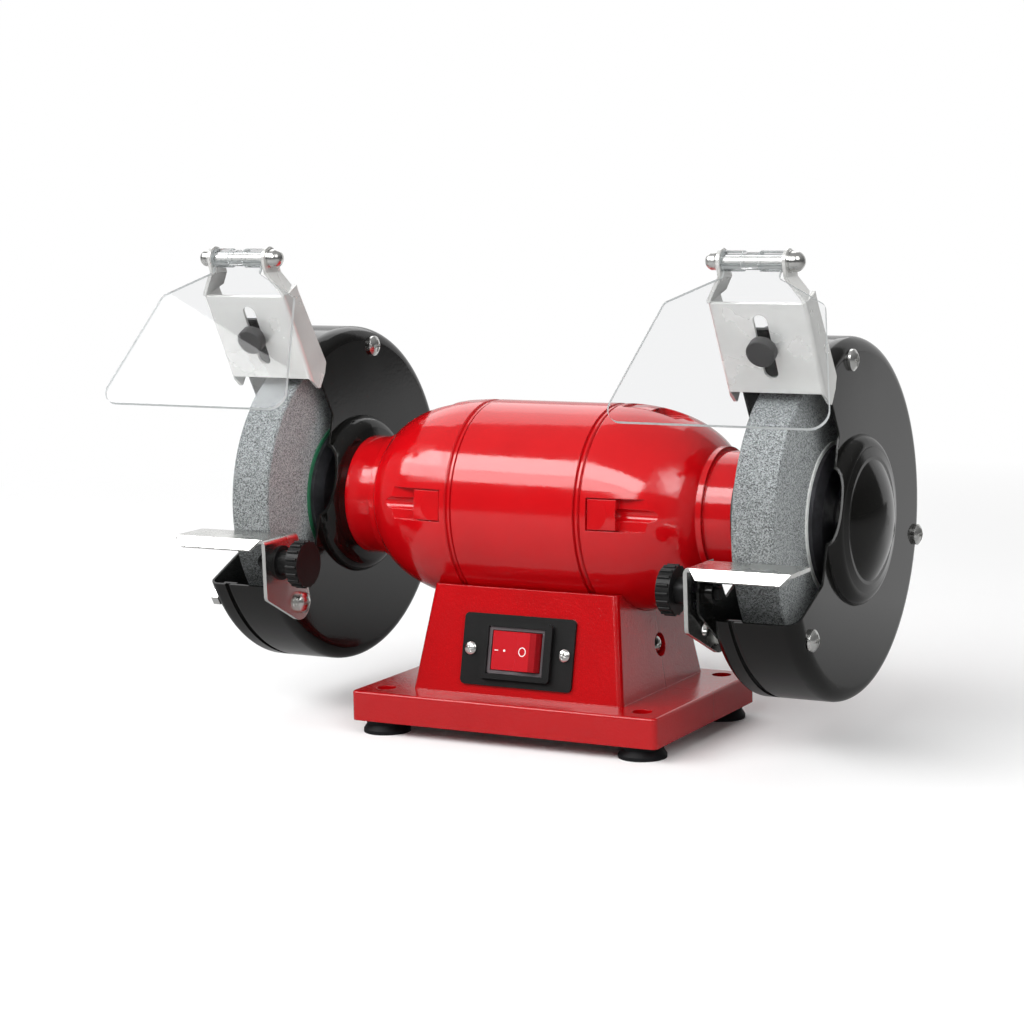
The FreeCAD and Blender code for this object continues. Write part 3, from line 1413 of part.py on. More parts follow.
def shield_bracket(middle):
    """Folded channel: a slotted plate, two side flanges, and ears that close on the pivot."""
    reach = BRACKET_HALF
    t = BRACKET_SHEET
    front_touch = tangent_point(plate_yz(0, 0), PIVOT, EAR_R, -1)
    back_touch = tangent_point(plate_yz(FLANGE_TOP_DROP, FLANGE_TOP_DEPTH), PIVOT, EAR_R, 1)
    side_outline = [
        plate_yz(0, 0),
        plate_yz(PLATE_LENGTH, 0),
        plate_yz(PLATE_LENGTH + FLANGE_TIP, FLANGE_TIP_DEPTH),
        plate_yz(PLATE_LENGTH + FLANGE_TIP * 0.5, FLANGE_FOOT_DEPTH * 0.75),
        plate_yz(PLATE_LENGTH, FLANGE_FOOT_DEPTH),
        plate_yz(FLANGE_TOP_DROP, FLANGE_TOP_DEPTH),
        back_touch,
        PIVOT,
        front_touch,
    ]
    tip = FLANGE_TIP_CORNER
    radii = [0, 0, tip, tip, FLANGE_CORNER, FLANGE_CORNER, 0, 0, 0]
    corners = [(y, z, r) for (y, z), r in zip(side_outline, radii)]
    past = reach + OVERRUN
    cheek = slab_yz(corners, -past, past)
    cheek = cheek.fuse(rod(-past, past, *PIVOT, EAR_R))
    ear_out = EAR_GAP_HALF + t
    low = PLATE_BOTTOM[1] - 2 * FLANGE_TIP
    high = PIVOT[1] + 2 * EAR_R
    section = [
        (reach, low),
        (reach, EAR_BEND_LOW),
        (ear_out, EAR_BEND_HIGH),
        (ear_out, high),
        (ear_out - t, high),
        (ear_out - t, EAR_BEND_HIGH - EAR_BEND_THIN),
        (reach - t, EAR_BEND_LOW - EAR_BEND_THIN),
        (reach - t, low),
    ]
    front = 2 * PIVOT[0]
    wall = face_of([at_shaft(x, front, z) for x, z in section]).extrude(Vector(0, -front, 0))
    down = Vector(0, *DOWN_PLATE)
    back = Vector(0, *BEHIND_PLATE)
    deep = 2 * FLANGE_FOOT_DEPTH
    bend = BRACKET_BEND
    inside = reach - t
    outer = [(-reach, 0, bend), (reach, 0, bend), (reach, deep, 0), (-reach, deep, 0)]
    inner = [(-inside, t, 0), (inside, t, 0), (inside, 2 * deep, 0), (-inside, 2 * deep, 0)]
    length = PLATE_LENGTH + FLANGE_TIP
    channel, hollow = (
        Part.Face(rounded_wire(corners, lambda x, b: plate_point(x, 0, b))).extrude(down * length)
        for corners in (outer, inner)
    )
    below_plate = face_of([
        plate_point(-inside, PLATE_LENGTH, -OVERRUN),
        plate_point(inside, PLATE_LENGTH, -OVERRUN),
        plate_point(inside, 2 * length, -OVERRUN),
        plate_point(-inside, 2 * length, -OVERRUN),
    ]).extrude(back * deep)
    channel = channel.cut([hollow, below_plate]).common(cheek)
    above_plate = face_of([
        plate_point(-past, 0, -deep),
        plate_point(past, 0, -deep),
        plate_point(past, -2 * deep, -deep),
        plate_point(-past, -2 * deep, -deep),
    ]).extrude(back * (2 * deep))
    ears = [ear.common(cheek).common(above_plate) for ear in (wall, mirrored(wall))]
    body = fused([channel] + ears)
    depth = t + 2 * OVERRUN
    slot = [face_of([
        plate_point(-SLOT_R, SLOT_TOP, -OVERRUN),
        plate_point(SLOT_R, SLOT_TOP, -OVERRUN),
        plate_point(SLOT_R, SLOT_BOTTOM, -OVERRUN),
        plate_point(-SLOT_R, SLOT_BOTTOM, -OVERRUN),
    ]).extrude(back * depth)]
    for place in (SLOT_TOP, SLOT_BOTTOM):
        slot.append(Part.makeCylinder(SLOT_R, depth, plate_point(0, place, -OVERRUN), back))
    bolt_hole = rod(-reach, reach, *PIVOT, PIVOT_BOLT_R + RUNNING)
    body = body.cut(slot + [bolt_hole])
    body.translate(Vector(middle, 0, 0))
    return body


def pivot_bolt(middle):
    """Bolt through the ears, its head and washer towards +X and a cap nut at the other end."""
    y, z = PIVOT
    ear_out = EAR_GAP_HALF + BRACKET_SHEET
    washer_out = ear_out + WASHER_THICK
    left = middle - ear_out
    head_base = at_shaft(middle + washer_out, y, z)
    head = domed_head(head_base, X_AXIS, PIVOT_HEAD_R, PIVOT_REACH - washer_out)
    shank = rod(left - CAP_NUT_THREAD, middle + washer_out, y, z, PIVOT_BOLT_R)
    bolt = fused([head, shank])
    hole_r = PIVOT_BOLT_R + RUNNING
    washer = rod(middle + ear_out, middle + washer_out, y, z, PIVOT_WASHER_R)
    washer = washer.cut(rod(middle, middle + PIVOT_REACH, y, z, hole_r))
    nut = domed_head(at_shaft(left, y, z), -X_AXIS, CAP_NUT_R, PIVOT_REACH - ear_out)
    nut = nut.cut(rod(left - CAP_NUT_THREAD - SEAT, middle, y, z, hole_r))
    return group([bolt, washer, nut])


def thumb_screw(middle):
    """Plastic-headed screw through the bracket's slot into the guard's lug."""
    back = Vector(0, *BEHIND_PLATE)
    neck_start = plate_point(middle, CLAMP_AT, -SEAT - THUMB_NECK)
    neck = Part.makeCylinder(THUMB_NECK_R, THUMB_NECK, neck_start, back)
    head_start = plate_point(middle, CLAMP_AT, -SEAT - THUMB_NECK - THUMB_HEAD)
    head = Part.makeCylinder(THUMB_HEAD_R, THUMB_HEAD, head_start, back)
    rim = [e for e in head.Edges if e.Length > THUMB_HEAD_R * 5]
    head = head.makeFillet(THUMB_EDGE, rim)
    bolt = Part.makeCylinder(THUMB_BOLT_R, THUMB_BOLT, neck_start, back)
    return fused([head, neck, bolt])


def pane_place(x, s, lift):
    """Point of the pane: across, down from the pivot, and out of its middle plane."""
    tilt = math.radians(PANE_TILT)
    y = PIVOT[0] - s * math.sin(tilt) - lift * math.cos(tilt)
    z = PIVOT[1] - s * math.cos(tilt) + lift * math.sin(tilt)
    return at_shaft(x, y, z)


def shield_pane(middle):
    """Clear moulded pane with its hinge barrel."""
    right = [
        (NECK_HALF, 0, 0),
        (NECK_HALF, NECK_LENGTH, PANE_NECK_CORNER),
        (COLLAR_HALF, COLLAR_AT, PANE_COLLAR_CORNER),
        (SHOULDER_HALF, SHOULDER_AT, PANE_SHOULDER_CORNER),
        (PANE_HALF, PANE_LENGTH, PANE_FOOT_CORNER),
    ]
    corners = right + [(-x, s, r) for x, s, r in reversed(right)]
    wire = rounded_wire(corners, lambda x, s: pane_place(middle + x, s, -PANE_THICK / 2))
    normal = (pane_place(0, 0, 1) - pane_place(0, 0, 0)) * PANE_THICK
    pane = Part.Face(wire).extrude(normal)
    y, z = PIVOT
    end = EAR_GAP_HALF - BARREL_CLEAR
    waist = rod(middle - end, middle + end, y, z, BARREL_WAIST_R)
    left = rod(middle - end, middle + WAIST_LEFT, y, z, BARREL_R)
    right_barrel = rod(middle + WAIST_RIGHT, middle + end, y, z, BARREL_R)
    solid = fused([pane, waist, left, right_barrel])
    return solid.cut(rod(middle - EAR_GAP_HALF, middle + EAR_GAP_HALF, y, z, PIVOT_BOLT_R + RUNNING))


# ---- Nodes ----------------------------------------------------------------------------

def nodes():
    """Every node's name with its shape."""
    bell = right_end_bell()
    parts = {
        "base_pedestal": base_pedestal(),
        "bottom_cover": bottom_cover(),
        "cover_screws": cover_screws(),
        "rubber_feet": rubber_feet(),
        "pedestal_screws": pedestal_screws(),
        "switch_plate": switch_plate(),
        "switch_plate_screws": switch_plate_screws(),
        "switch_bezel": switch_bezel(),
        "switch_frame": switch_frame(),
        "switch_rocker": rocker(),
        "motor_shell": motor_shell(),
        "right_end_bell": bell,
        "left_end_bell": mirrored(bell),
        "bell_screws": bell_screws(),
        "stator_core": stator_core(),
        "stator_windings": stator_windings(),
        "rotor_core": rotor_core(),
        "shaft": shaft(),
        "bearing_outer_races": race_pair(BEARING_R - RACE_THICK, BEARING_R - SEAT / 2),
        "bearing_inner_races": race_pair(BEARING_BORE_R, BEARING_BORE_R + RACE_THICK),
        "bearing_balls": bearing_balls(),
        "wave_washer": wave_washer(),
        "capacitor": capacitor(),
        "guard_bolts": guard_bolts(),
        "guard_nuts": guard_nuts(),
        "rest_washers": rest_washers(),
        "guard_mount_screws": guard_mount_screws(),
    }
    same_both_ends = {
        "wheel": wheel(),
        "wheel_blotters": blotters(),
        "inner_flange": inner_flange(),
        "outer_flange": outer_flange(),
        "shaft_nut": shaft_nut(),
        "rest_knob": rest_knob(),
    }
    for side, name in ((1, "right"), (-1, "left")):
        for piece, shape in same_both_ends.items():
            parts[f"{name}_{piece}"] = shape if side > 0 else mirrored(shape)
        middle = side * BRACKET_MID
        parts[f"{name}_guard_deep"] = deep_half(side)
        parts[f"{name}_guard_shallow"] = shallow_half(side)
        parts[f"{name}_tool_rest"] = tool_rest(side)
        parts[f"{name}_shield_bracket"] = shield_bracket(middle)
        parts[f"{name}_thumb_screw"] = thumb_screw(middle)
        parts[f"{name}_pivot_bolt"] = pivot_bolt(middle)
        parts[f"{name}_shield_pane"] = shield_pane(middle)
    return parts


def main():
    os.makedirs("parts", exist_ok=True)
    for name, shape in nodes().items():
        shape.exportStep(f"parts/{name}.step")
        box = shape.BoundBox
        print(
            f"{name:22s} solids {len(shape.Solids):3d} valid {shape.isValid()} "
            f"x {box.XMin:7.1f} {box.XMax:7.1f} y {box.YMin:7.1f} {box.YMax:7.1f} "
            f"z {box.ZMin:6.1f} {box.ZMax:6.1f} vol {shape.Volume:10.0f}"
        )


main()
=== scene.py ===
import math

import bpy
from mathutils import Matrix, Vector


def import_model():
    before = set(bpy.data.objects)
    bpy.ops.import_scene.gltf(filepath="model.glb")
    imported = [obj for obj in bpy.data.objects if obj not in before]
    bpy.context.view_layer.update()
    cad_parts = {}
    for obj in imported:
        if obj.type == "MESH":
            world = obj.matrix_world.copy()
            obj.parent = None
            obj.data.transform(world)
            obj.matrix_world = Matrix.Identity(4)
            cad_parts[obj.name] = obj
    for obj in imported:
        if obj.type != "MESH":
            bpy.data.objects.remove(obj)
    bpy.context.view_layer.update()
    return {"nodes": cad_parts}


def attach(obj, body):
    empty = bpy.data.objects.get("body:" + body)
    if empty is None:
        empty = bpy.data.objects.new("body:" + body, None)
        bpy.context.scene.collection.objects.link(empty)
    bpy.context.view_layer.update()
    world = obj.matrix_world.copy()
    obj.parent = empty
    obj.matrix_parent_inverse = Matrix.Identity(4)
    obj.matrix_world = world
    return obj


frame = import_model()

# ---- Driving values -------------------------------------------------------------------

MM = 0.001
SIDES = ("right", "left")

# Camera: where it looks, from which side, and how far away
CAMERA_TARGET = Vector((-26.8, 8.0, 131.3)) * MM
CAMERA_AZIMUTH = 28.40
CAMERA_ELEVATION = 7.19
CAMERA_ROLL = -1.17
CAMERA_DISTANCE = 1.3683
CAMERA_LENS = 93.51
CAMERA_SENSOR = 36.0
CAMERA_SHIFT_Y = -0.0452

# Floor: it turns into plain white between two distances from the object
FLOOR_SIZE = 12.0
FLOOR_WHITE = (0.45, 1.1)

# Tone of the floor for the room's light, and what camera rays and mirrors add to it
FLOOR_TONE = 0.5
FLOOR_SEEN = 0.40
FLOOR_MIRRORED = -0.17

# Glow of the floor behind the object, for mirrors alone. It rises over a range of Y, and
# over a range of slant * Y - X, which keeps it off the right side.
GLOW_LEVEL = 0.70
GLOW_DEPTH = (0.1, 0.4)
GLOW_SLANT = 0.36
GLOW_EDGE = (-0.31, -0.19)

# Room: the backdrop is a cone round one direction, given by the cosines of its edge. The
# rest of the room gets lighter with height.
BACKDROP_LEVEL = 0.90
BACKDROP_AT = (-0.309, 0.951, 0.0)
BACKDROP_EDGE = (0.66, 0.70)
AMBIENT_LOW = 0.14
AMBIENT_HIGH = 0.42
AMBIENT_RISE = (0.2, 0.75)

# Lamps: direction from the motor's middle, distance, width, height and brightness
LAMPS_FACE = Vector((0.0, 8.0, 113.0)) * MM
LAMPS = {
    "key": ((-0.405, -0.623, 0.669), 1.6, 2.7, 0.42, 7.2),
    "key_foot": ((-0.476, -0.734, 0.485), 1.6, 2.7, 0.29, 4.8),
    "top": ((-0.400, 0.620, 0.675), 1.6, 1.5, 1.2, 1.2),
    "window": ((0.645, -0.452, 0.616), 1.6, 0.8, 0.7, 2.8),
    "fill": ((0.80, -0.50, 0.33), 1.8, 1.6, 1.6, 1.6),
}
LAMPS_NOT_MIRRORED = ("fill",)

# Share of a bead's or seam's half width, from its middle outwards, that is flat
RELIEF_FLAT = 0.3

# Bead beside each joint of the motor's shell
BEAD_X = 35.8 * MM
BEAD_HALF = 1.7 * MM
BEAD_DEPTH = 1.4 * MM

# Mould line down the middle of the pedestal's ends
SEAM_Y = 8.0 * MM
SEAM_HALF = 0.22 * MM
SEAM_DEPTH = 0.3 * MM

# Samples of the shader that rounds the look of an edge
EDGE_SAMPLES = 4

# Grit: the colour ramp's first half is for the wheel's rim and its second for the sides, each
# with the tones of its darkest and lightest grain. The sides' tones are raised well above the
# rim's as painted light, for the light that falls on the sides. A side's normal runs along X.
RIM_SPAN = 0.49
RIM_TONES = (0.3, 1.9)
SIDE_START = 0.50
SIDE_PAINTED_LIGHT_TONES = (0.6, 3.1)
SIDE_NORMAL = (0.90, 0.91)

# Tilt of the shield's panes from upright, the least cosine between a pane's tilt and the
# normal of its face, and the colour of its sawn edges
PANE_TILT = 35.3
PANE_FACE = 0.5
PANE_EDGE = (0.48, 0.50, 0.50, 1.0)

# Share of the rocker's width where its steeper end begins, and the tone of the painted shade
# on that end
ROCKER_END = 0.80
ROCKER_END_WIDTH = 0.01
ROCKER_PAINTED_SHADE_TONE = 0.62

# Front face of the pedestal and the rocker in it, as the CAD builds them
SLOPE_FOOT = Vector((0.0, -43.5, 22.2)) * MM
SLOPE_UP = Vector((0.0, 12.0, 52.6)).normalized()
SWITCH_MID = 22.8 * MM
ROCKER_VALLEY = 3.5 * MM
ROCKER_PIN = -0.1 * MM
ROCKER_TILT = math.radians(6.0)

# Printed marks of the rocker
MARK_STEPS = 32
MARK_LIFT = 0.05 * MM
MARK_WIDTH = 0.42 * MM
RING_R = 2.1 * MM
RING_AT = 4.6 * MM
DASH_AT = -10.4 * MM
DASH_LENGTH = 2.0 * MM
DOT_AT = -6.0 * MM
DOT_R = 0.6 * MM

WHITE = (1.0, 1.0, 1.0, 1.0)


# ---- Shader helpers -------------------------------------------------------------------

class Nodes:
    """A node tree with short ways to add to it. A value is a number or a node's output."""

    def __init__(self, tree, coordinates):
        self.tree = tree
        self.place = self.node("ShaderNodeTexCoord").outputs[coordinates]

    def node(self, kind, **inputs):
        made = self.tree.nodes.new(kind)
        for key, value in inputs.items():
            made.inputs[key.replace("_", " ")].default_value = value
        return made

    def link(self, output, target):
        self.tree.links.new(output, target)

    def feed(self, value, target):
        if isinstance(value, float):
            target.default_value = value
        else:
            self.link(value, target)

    def maths(self, operation, first, second=0.0):
        made = self.node("ShaderNodeMath")
        made.operation = operation
        self.feed(first, made.inputs[0])
        self.feed(second, made.inputs[1])
        return made.outputs["Value"]

    def off(self, value, mark):
        """How far a value is from a mark."""
        return self.maths("ABSOLUTE", self.maths("SUBTRACT", value, mark))

    def split(self, vector):
        """X, Y and Z of a vector."""
        made = self.node("ShaderNodeSeparateXYZ")
        self.link(vector, made.inputs["Vector"])
        return made.outputs

    def along(self, vector, direction):
        """How far a vector runs along a direction."""
        made = self.node("ShaderNodeVectorMath")
        made.operation = "DOT_PRODUCT"
        self.link(vector, made.inputs[0])
        made.inputs[1].default_value = direction
        return made.outputs["Value"]

    def length(self, vector):
        made = self.node("ShaderNodeVectorMath")
        made.operation = "LENGTH"
        self.link(vector, made.inputs[0])
        return made.outputs["Value"]

    def spread(self, value, low, high, between=(0.35, 0.65)):
        """Maps a value that lies between two marks to the range from low to high."""
        start, end = between
        mapped = self.node("ShaderNodeMapRange", From_Min=start, From_Max=end, To_Max=high)
        self.feed(low, mapped.inputs["To Min"])
        self.link(value, mapped.inputs["Value"])
        return mapped.outputs["Result"]

    def mix(self, factor, first, second):
        """Shader that runs from the first at 0 to the second at 1."""
        made = self.node("ShaderNodeMixShader")
        self.feed(factor, made.inputs["Fac"])
        self.link(first, made.inputs[1])
        self.link(second, made.inputs[2])
        return made.outputs["Shader"]


class Surface(Nodes):
    """A material with its Principled shader and a few ways to give it texture. Textures
    take their scale in features per metre, and relief takes its depth in metres."""

    def __init__(self, name, colour, roughness, metallic=0.0):
        self.material = bpy.data.materials.new(name)
        self.material.use_nodes = True
        super().__init__(self.material.node_tree, "Object")
        self.shader = self.tree.nodes["Principled BSDF"]
        self.colour = colour
        self.normal = None
        self.set("Base Color", (*colour, 1.0))
        self.set("Roughness", roughness)
        self.set("Metallic", metallic)

    def set(self, socket, value):
        self.shader.inputs[socket].default_value = value

    def show(self, shader):
        """Puts another shader in the place of the Principled one."""
        self.link(shader, self.tree.nodes["Material Output"].inputs["Surface"])

    def noise(self, scale, detail=3.0, stretch=None):
        """Soft cloud, drawn out along the axes whose stretch is small."""
        place = self.place
        if stretch:
            mapping = self.node("ShaderNodeMapping", Scale=stretch)
            self.link(place, mapping.inputs["Vector"])
            place = mapping.outputs["Vector"]
        texture = self.node("ShaderNodeTexNoise", Scale=scale, Detail=detail)
        self.link(place, texture.inputs["Vector"])
        return texture.outputs["Fac"]

    def grains(self, scale):
        """One random value per grain."""
        texture = self.node("ShaderNodeTexVoronoi", Scale=scale)
        self.link(self.place, texture.inputs["Vector"])
        channels = self.node("ShaderNodeSeparateColor")
        self.link(texture.outputs["Color"], channels.inputs["Color"])
        return channels.outputs["Red"]

    def toned(self, tone):
        """The surface's own colour, lighter or darker."""
        return (*(min(1.0, part * tone) for part in self.colour), 1.0)

    def mottle(self, value, dark, light, stops=(0.3, 0.7)):
        """Base colour that runs from a darker to a lighter tone between two stops."""
        ramp = self.node("ShaderNodeValToRGB")
        for element, stop, tone in zip(ramp.color_ramp.elements, stops, (dark, light)):
            element.position = stop
            element.color = self.toned(tone)
        self.link(value, ramp.inputs["Fac"])
        self.link(ramp.outputs["Color"], self.shader.inputs["Base Color"])
        return ramp.color_ramp

    def vary_roughness(self, value, low, high):
        self.link(self.spread(value, low, high), self.shader.inputs["Roughness"])

    def soften(self, radius):
        """Rounds the look of edges by a radius in metres."""
        rounded = self.node("ShaderNodeBevel", Radius=radius)
        rounded.samples = EDGE_SAMPLES
        self.normal = rounded.outputs["Normal"]
        self.link(self.normal, self.shader.inputs["Normal"])

    def bump(self, value, depth):
        """Relief, laid over any relief that is already there."""
        made = self.node("ShaderNodeBump", Strength=1.0, Distance=depth)
        self.link(value, made.inputs["Height"])
        if self.normal is not None:
            self.link(self.normal, made.inputs["Normal"])
        self.normal = made.outputs["Normal"]
        self.link(self.normal, self.shader.inputs["Normal"])


# ---- Materials ------------------------------------------------------------------------

def enamel(name, colour, orange_peel):
    """Glossy paint with a slight orange peel, rounded over every edge."""
    paint = Surface(name, colour, roughness=0.10)
    paint.set("IOR", 1.62)
    paint.soften(0.6 * MM)
    paint.mottle(paint.noise(35.0), dark=0.95, light=1.05)
    paint.vary_roughness(paint.noise(60.0), low=0.07, high=0.13)
    paint.bump(paint.noise(420.0, detail=2.0), orange_peel)
    return paint


def red_gloss():
    """Red of the motor, with a bead beside each joint of its shell."""
    paint = enamel("red_gloss", (0.49, 0.0022, 0.0048), orange_peel=0.03 * MM)
    aside = paint.off(paint.maths("ABSOLUTE", paint.split(paint.place)["X"]), BEAD_X)
    bead = paint.spread(aside, 1.0, 0.0, between=(RELIEF_FLAT * BEAD_HALF, BEAD_HALF))
    paint.bump(bead, BEAD_DEPTH)
    return paint.material


def red_casting():
    """The same red over a sand casting, so the skin is uneven and the mould line shows."""
    paint = enamel("red_casting", (0.41, 0.0016, 0.0036), orange_peel=0.05 * MM)
    paint.bump(paint.noise(900.0, detail=4.0), 0.12 * MM)
    aside = paint.off(paint.split(paint.place)["Y"], SEAM_Y)
    seam = paint.spread(aside, 0.0, 1.0, between=(RELIEF_FLAT * SEAM_HALF, SEAM_HALF))
    paint.bump(seam, SEAM_DEPTH)
    return paint.material


def black_enamel():
    paint = Surface("black_enamel", (0.0035, 0.0034, 0.0030), roughness=0.16)
    paint.set("IOR", 1.42)
    paint.soften(0.4 * MM)
    paint.mottle(paint.noise(60.0), dark=0.8, light=1.2)
    paint.vary_roughness(paint.noise(25.0), low=0.06, high=0.11)
    paint.bump(paint.noise(700.0, detail=2.0), 0.02 * MM)
    return paint.material


def zinc(name, metallic):
    """Zinc plate with the faint grain of rolled sheet."""
    plate = Surface(name, (0.78, 0.78, 0.76), roughness=0.2, metallic=metallic)
    plate.soften(0.3 * MM)
    cloud = plate.noise(45.0, detail=4.0)
    plate.mottle(cloud, dark=0.90, light=1.04)
    plate.vary_roughness(cloud, low=0.18, high=0.30)
    plate.bump(plate.noise(260.0, stretch=(0.2, 3.0, 3.0)), 0.04 * MM)
    return plate.material


def turned_steel():
    metal = Surface("turned_steel", (0.62, 0.61, 0.59), roughness=0.25, metallic=1.0)
    metal.mottle(metal.noise(180.0), dark=0.85, light=1.05)
    metal.vary_roughness(metal.noise(300.0), low=0.2, high=0.35)
    metal.bump(metal.noise(500.0, detail=2.0, stretch=(4.0, 0.4, 0.4)), 0.03 * MM)
    return metal.material


def blackened_steel():
    metal = Surface("blackened_steel", (0.05, 0.05, 0.055), roughness=0.4, metallic=0.6)
    metal.mottle(metal.noise(120.0), dark=0.7, light=1.3)
    metal.vary_roughness(metal.noise(200.0), low=0.3, high=0.5)
    return metal.material


def abrasive():
    """Grey vitrified grit: light and dark grains with pores between them. The sides are
    painted lighter than the rim, a painted light for the light that falls on them.
    """
    stone = Surface("abrasive", (0.17, 0.180, 0.181), roughness=0.9)
    stone.set("Specular IOR Level", 0.2)
    grain = stone.grains(2300.0)
    normal = stone.node("ShaderNodeNewGeometry").outputs["True Normal"]
    sideways = stone.maths("ABSOLUTE", stone.split(normal)["X"])
    # painted light: faces whose normal runs along X are moved to the lighter half of the ramp
    side = stone.spread(sideways, 0.0, SIDE_START, between=SIDE_NORMAL)
    tone = stone.maths("ADD", stone.maths("MULTIPLY", grain, RIM_SPAN), side)
    ramp = stone.mottle(tone, *RIM_TONES, stops=(0.0, RIM_SPAN))
    # the side grains get lighter tones than the rim's, as painted light
    for stop, painted_light_tone in zip((SIDE_START, SIDE_START + RIM_SPAN), SIDE_PAINTED_LIGHT_TONES):
        ramp.elements.new(stop).color = stone.toned(painted_light_tone)
    stone.bump(grain, 0.10 * MM)
    stone.bump(stone.noise(500.0, detail=5.0), 0.12 * MM)
    return stone.material


def paper(name, colour):
    sheet = Surface(name, colour, roughness=0.75)
    sheet.mottle(sheet.noise(300.0, detail=5.0), dark=0.9, light=1.05)
    sheet.bump(sheet.noise(1500.0), 0.03 * MM)
    return sheet.material


def moulding(name, colour, roughness, grain=0.04 * MM):
    """Moulded plastic with a fine spark-eroded skin."""
    plastic = Surface(name, colour, roughness)
    plastic.mottle(plastic.noise(90.0), dark=0.85, light=1.15)
    plastic.bump(plastic.noise(1800.0, detail=2.0), grain)
    plastic.set("Specular IOR Level", 0.22)
    return plastic


def red_rocker():
    """Translucent red: light goes a little way in, and the steeper end is painted darker, a
    painted shade for an end that faces away from the light.
    """
    plastic = moulding("red_rocker", (0.46, 0.012, 0.018), roughness=0.18, grain=0.01 * MM)
    across = plastic.split(plastic.node("ShaderNodeTexCoord").outputs["Generated"])["X"]
    # painted shade: the base colour darkens across the steeper end
    end = plastic.spread(across, 0.0, 1.0, between=(ROCKER_END, ROCKER_END + ROCKER_END_WIDTH))
    plastic.mottle(end, 1.0, ROCKER_PAINTED_SHADE_TONE, stops=(0.0, 1.0))
    plastic.set("Subsurface Weight", 0.35)
    plastic.set("Subsurface Radius", (0.004, 0.0006, 0.0006))
    plastic.set("Coat Weight", 0.6)
    return plastic.material


def clear_sheet():
    """Clear polycarbonate; it casts hardly any shadow."""
    sheet = Surface("clear_sheet", (0.90, 0.905, 0.91), roughness=0.02)
    sheet.set("IOR", 1.22)
    sheet.set("Transmission Weight", 1.0)
    sheet.vary_roughness(sheet.noise(20.0), low=0.005, high=0.02)
    shadow = sheet.node("ShaderNodeLightPath").outputs["Is Shadow Ray"]
    see_through = sheet.node("ShaderNodeBsdfTransparent", Color=(0.93, 0.94, 0.95, 1.0))
    body = sheet.mix(shadow, sheet.shader.outputs["BSDF"], see_through.outputs["BSDF"])
    sheet.show(pane_edge(sheet, body))
    return sheet.material


def pane_edge(sheet, body):
    """The sawn edges gather light, so they look pale where the faces look clear."""
    tilt = math.radians(PANE_TILT)
    normal = sheet.node("ShaderNodeNewGeometry").outputs["True Normal"]
    facing = sheet.along(normal, (0.0, -math.cos(tilt), math.sin(tilt)))
    face = sheet.maths("GREATER_THAN", sheet.maths("ABSOLUTE", facing), PANE_FACE)
    milky = sheet.node("ShaderNodeBsdfDiffuse", Color=PANE_EDGE)
    glow = sheet.node("ShaderNodeBsdfTranslucent", Color=PANE_EDGE)
    pale = sheet.mix(0.5, milky.outputs["BSDF"], glow.outputs["BSDF"])
    return sheet.mix(face, pale, body)


def copper():
    wire = Surface("copper", (0.55, 0.20, 0.07), roughness=0.3, metallic=0.9)
    wire.mottle(wire.noise(400.0, detail=2.0, stretch=(0.1, 1.0, 1.0)), dark=0.6, light=1.2)
    return wire.material


def laminations():
    iron = Surface("laminations", (0.30, 0.30, 0.31), roughness=0.45, metallic=0.8)
    iron.mottle(iron.noise(60.0, detail=2.0, stretch=(20.0, 1.0, 1.0)), dark=0.6, light=1.2)
    return iron.material


def drawn_can():
    can = Surface("drawn_can", (0.75, 0.75, 0.76), roughness=0.3, metallic=1.0)
    can.mottle(can.noise(80.0), dark=0.9, light=1.05)
    can.bump(can.noise(300.0, detail=2.0, stretch=(0.2, 2.0, 2.0)), 0.03 * MM)
    return can.material


def dress():
    """Gives every CAD node its material."""
    bright = zinc("zinc", metallic=1.0)
    steel = turned_steel()
    flange_black = blackened_steel()
    black_paint = black_enamel()
    gloss = red_gloss()
    black = moulding("black_plastic", (0.008, 0.008, 0.008), 0.38).material
    iron = laminations()
    looks = {
        "base_pedestal": red_casting(),
        "bottom_cover": bright,
        "cover_screws": bright,
        "rubber_feet": moulding("rubber", (0.005, 0.005, 0.006), 0.6, 0.08 * MM).material,
        "pedestal_screws": bright,
        "switch_plate": black,
        "switch_plate_screws": bright,
        "switch_bezel": black,
        "switch_frame": moulding("grey_plastic", (0.10, 0.085, 0.09), 0.35).material,
        "switch_rocker": red_rocker(),
        "motor_shell": gloss,
        "right_end_bell": gloss,
        "left_end_bell": gloss,
        "bell_screws": bright,
        "stator_core": iron,
        "stator_windings": copper(),
        "rotor_core": iron,
        "shaft": steel,
        "bearing_outer_races": steel,
        "bearing_inner_races": steel,
        "bearing_balls": steel,
        "wave_washer": steel,
        "capacitor": drawn_can(),
        "guard_bolts": bright,
        "guard_nuts": bright,
        "rest_washers": bright,
        "guard_mount_screws": bright,
        "right_wheel_blotters": paper("white_paper", (0.72, 0.74, 0.72)),
        "left_wheel_blotters": paper("green_paper", (0.02, 0.15, 0.07)),
    }
    per_side = {
        "wheel": abrasive(),
        "inner_flange": flange_black,
        "outer_flange": flange_black,
        "shaft_nut": steel,
        "rest_knob": black,
        "guard_deep": black_paint,
        "guard_shallow": black_paint,
        "tool_rest": bright,
        "shield_bracket": zinc("dull_zinc", metallic=0.5),
        "thumb_screw": moulding("dark_grey_plastic", (0.035, 0.034, 0.034), 0.42).material,
        "pivot_bolt": bright,
        "shield_pane": clear_sheet(),
    }
    for side in SIDES:
        for piece, material in per_side.items():
            looks[f"{side}_{piece}"] = material
    for name, node in frame["nodes"].items():
        node.data.materials.clear()
        node.data.materials.append(looks[name])


# ---- Marks ----------------------------------------------------------------------------

def white_print():
    ink = Surface("white_print", (0.85, 0.85, 0.84), roughness=0.5)
    ink.mottle(ink.noise(900.0), dark=0.92, light=1.02)
    return ink.material


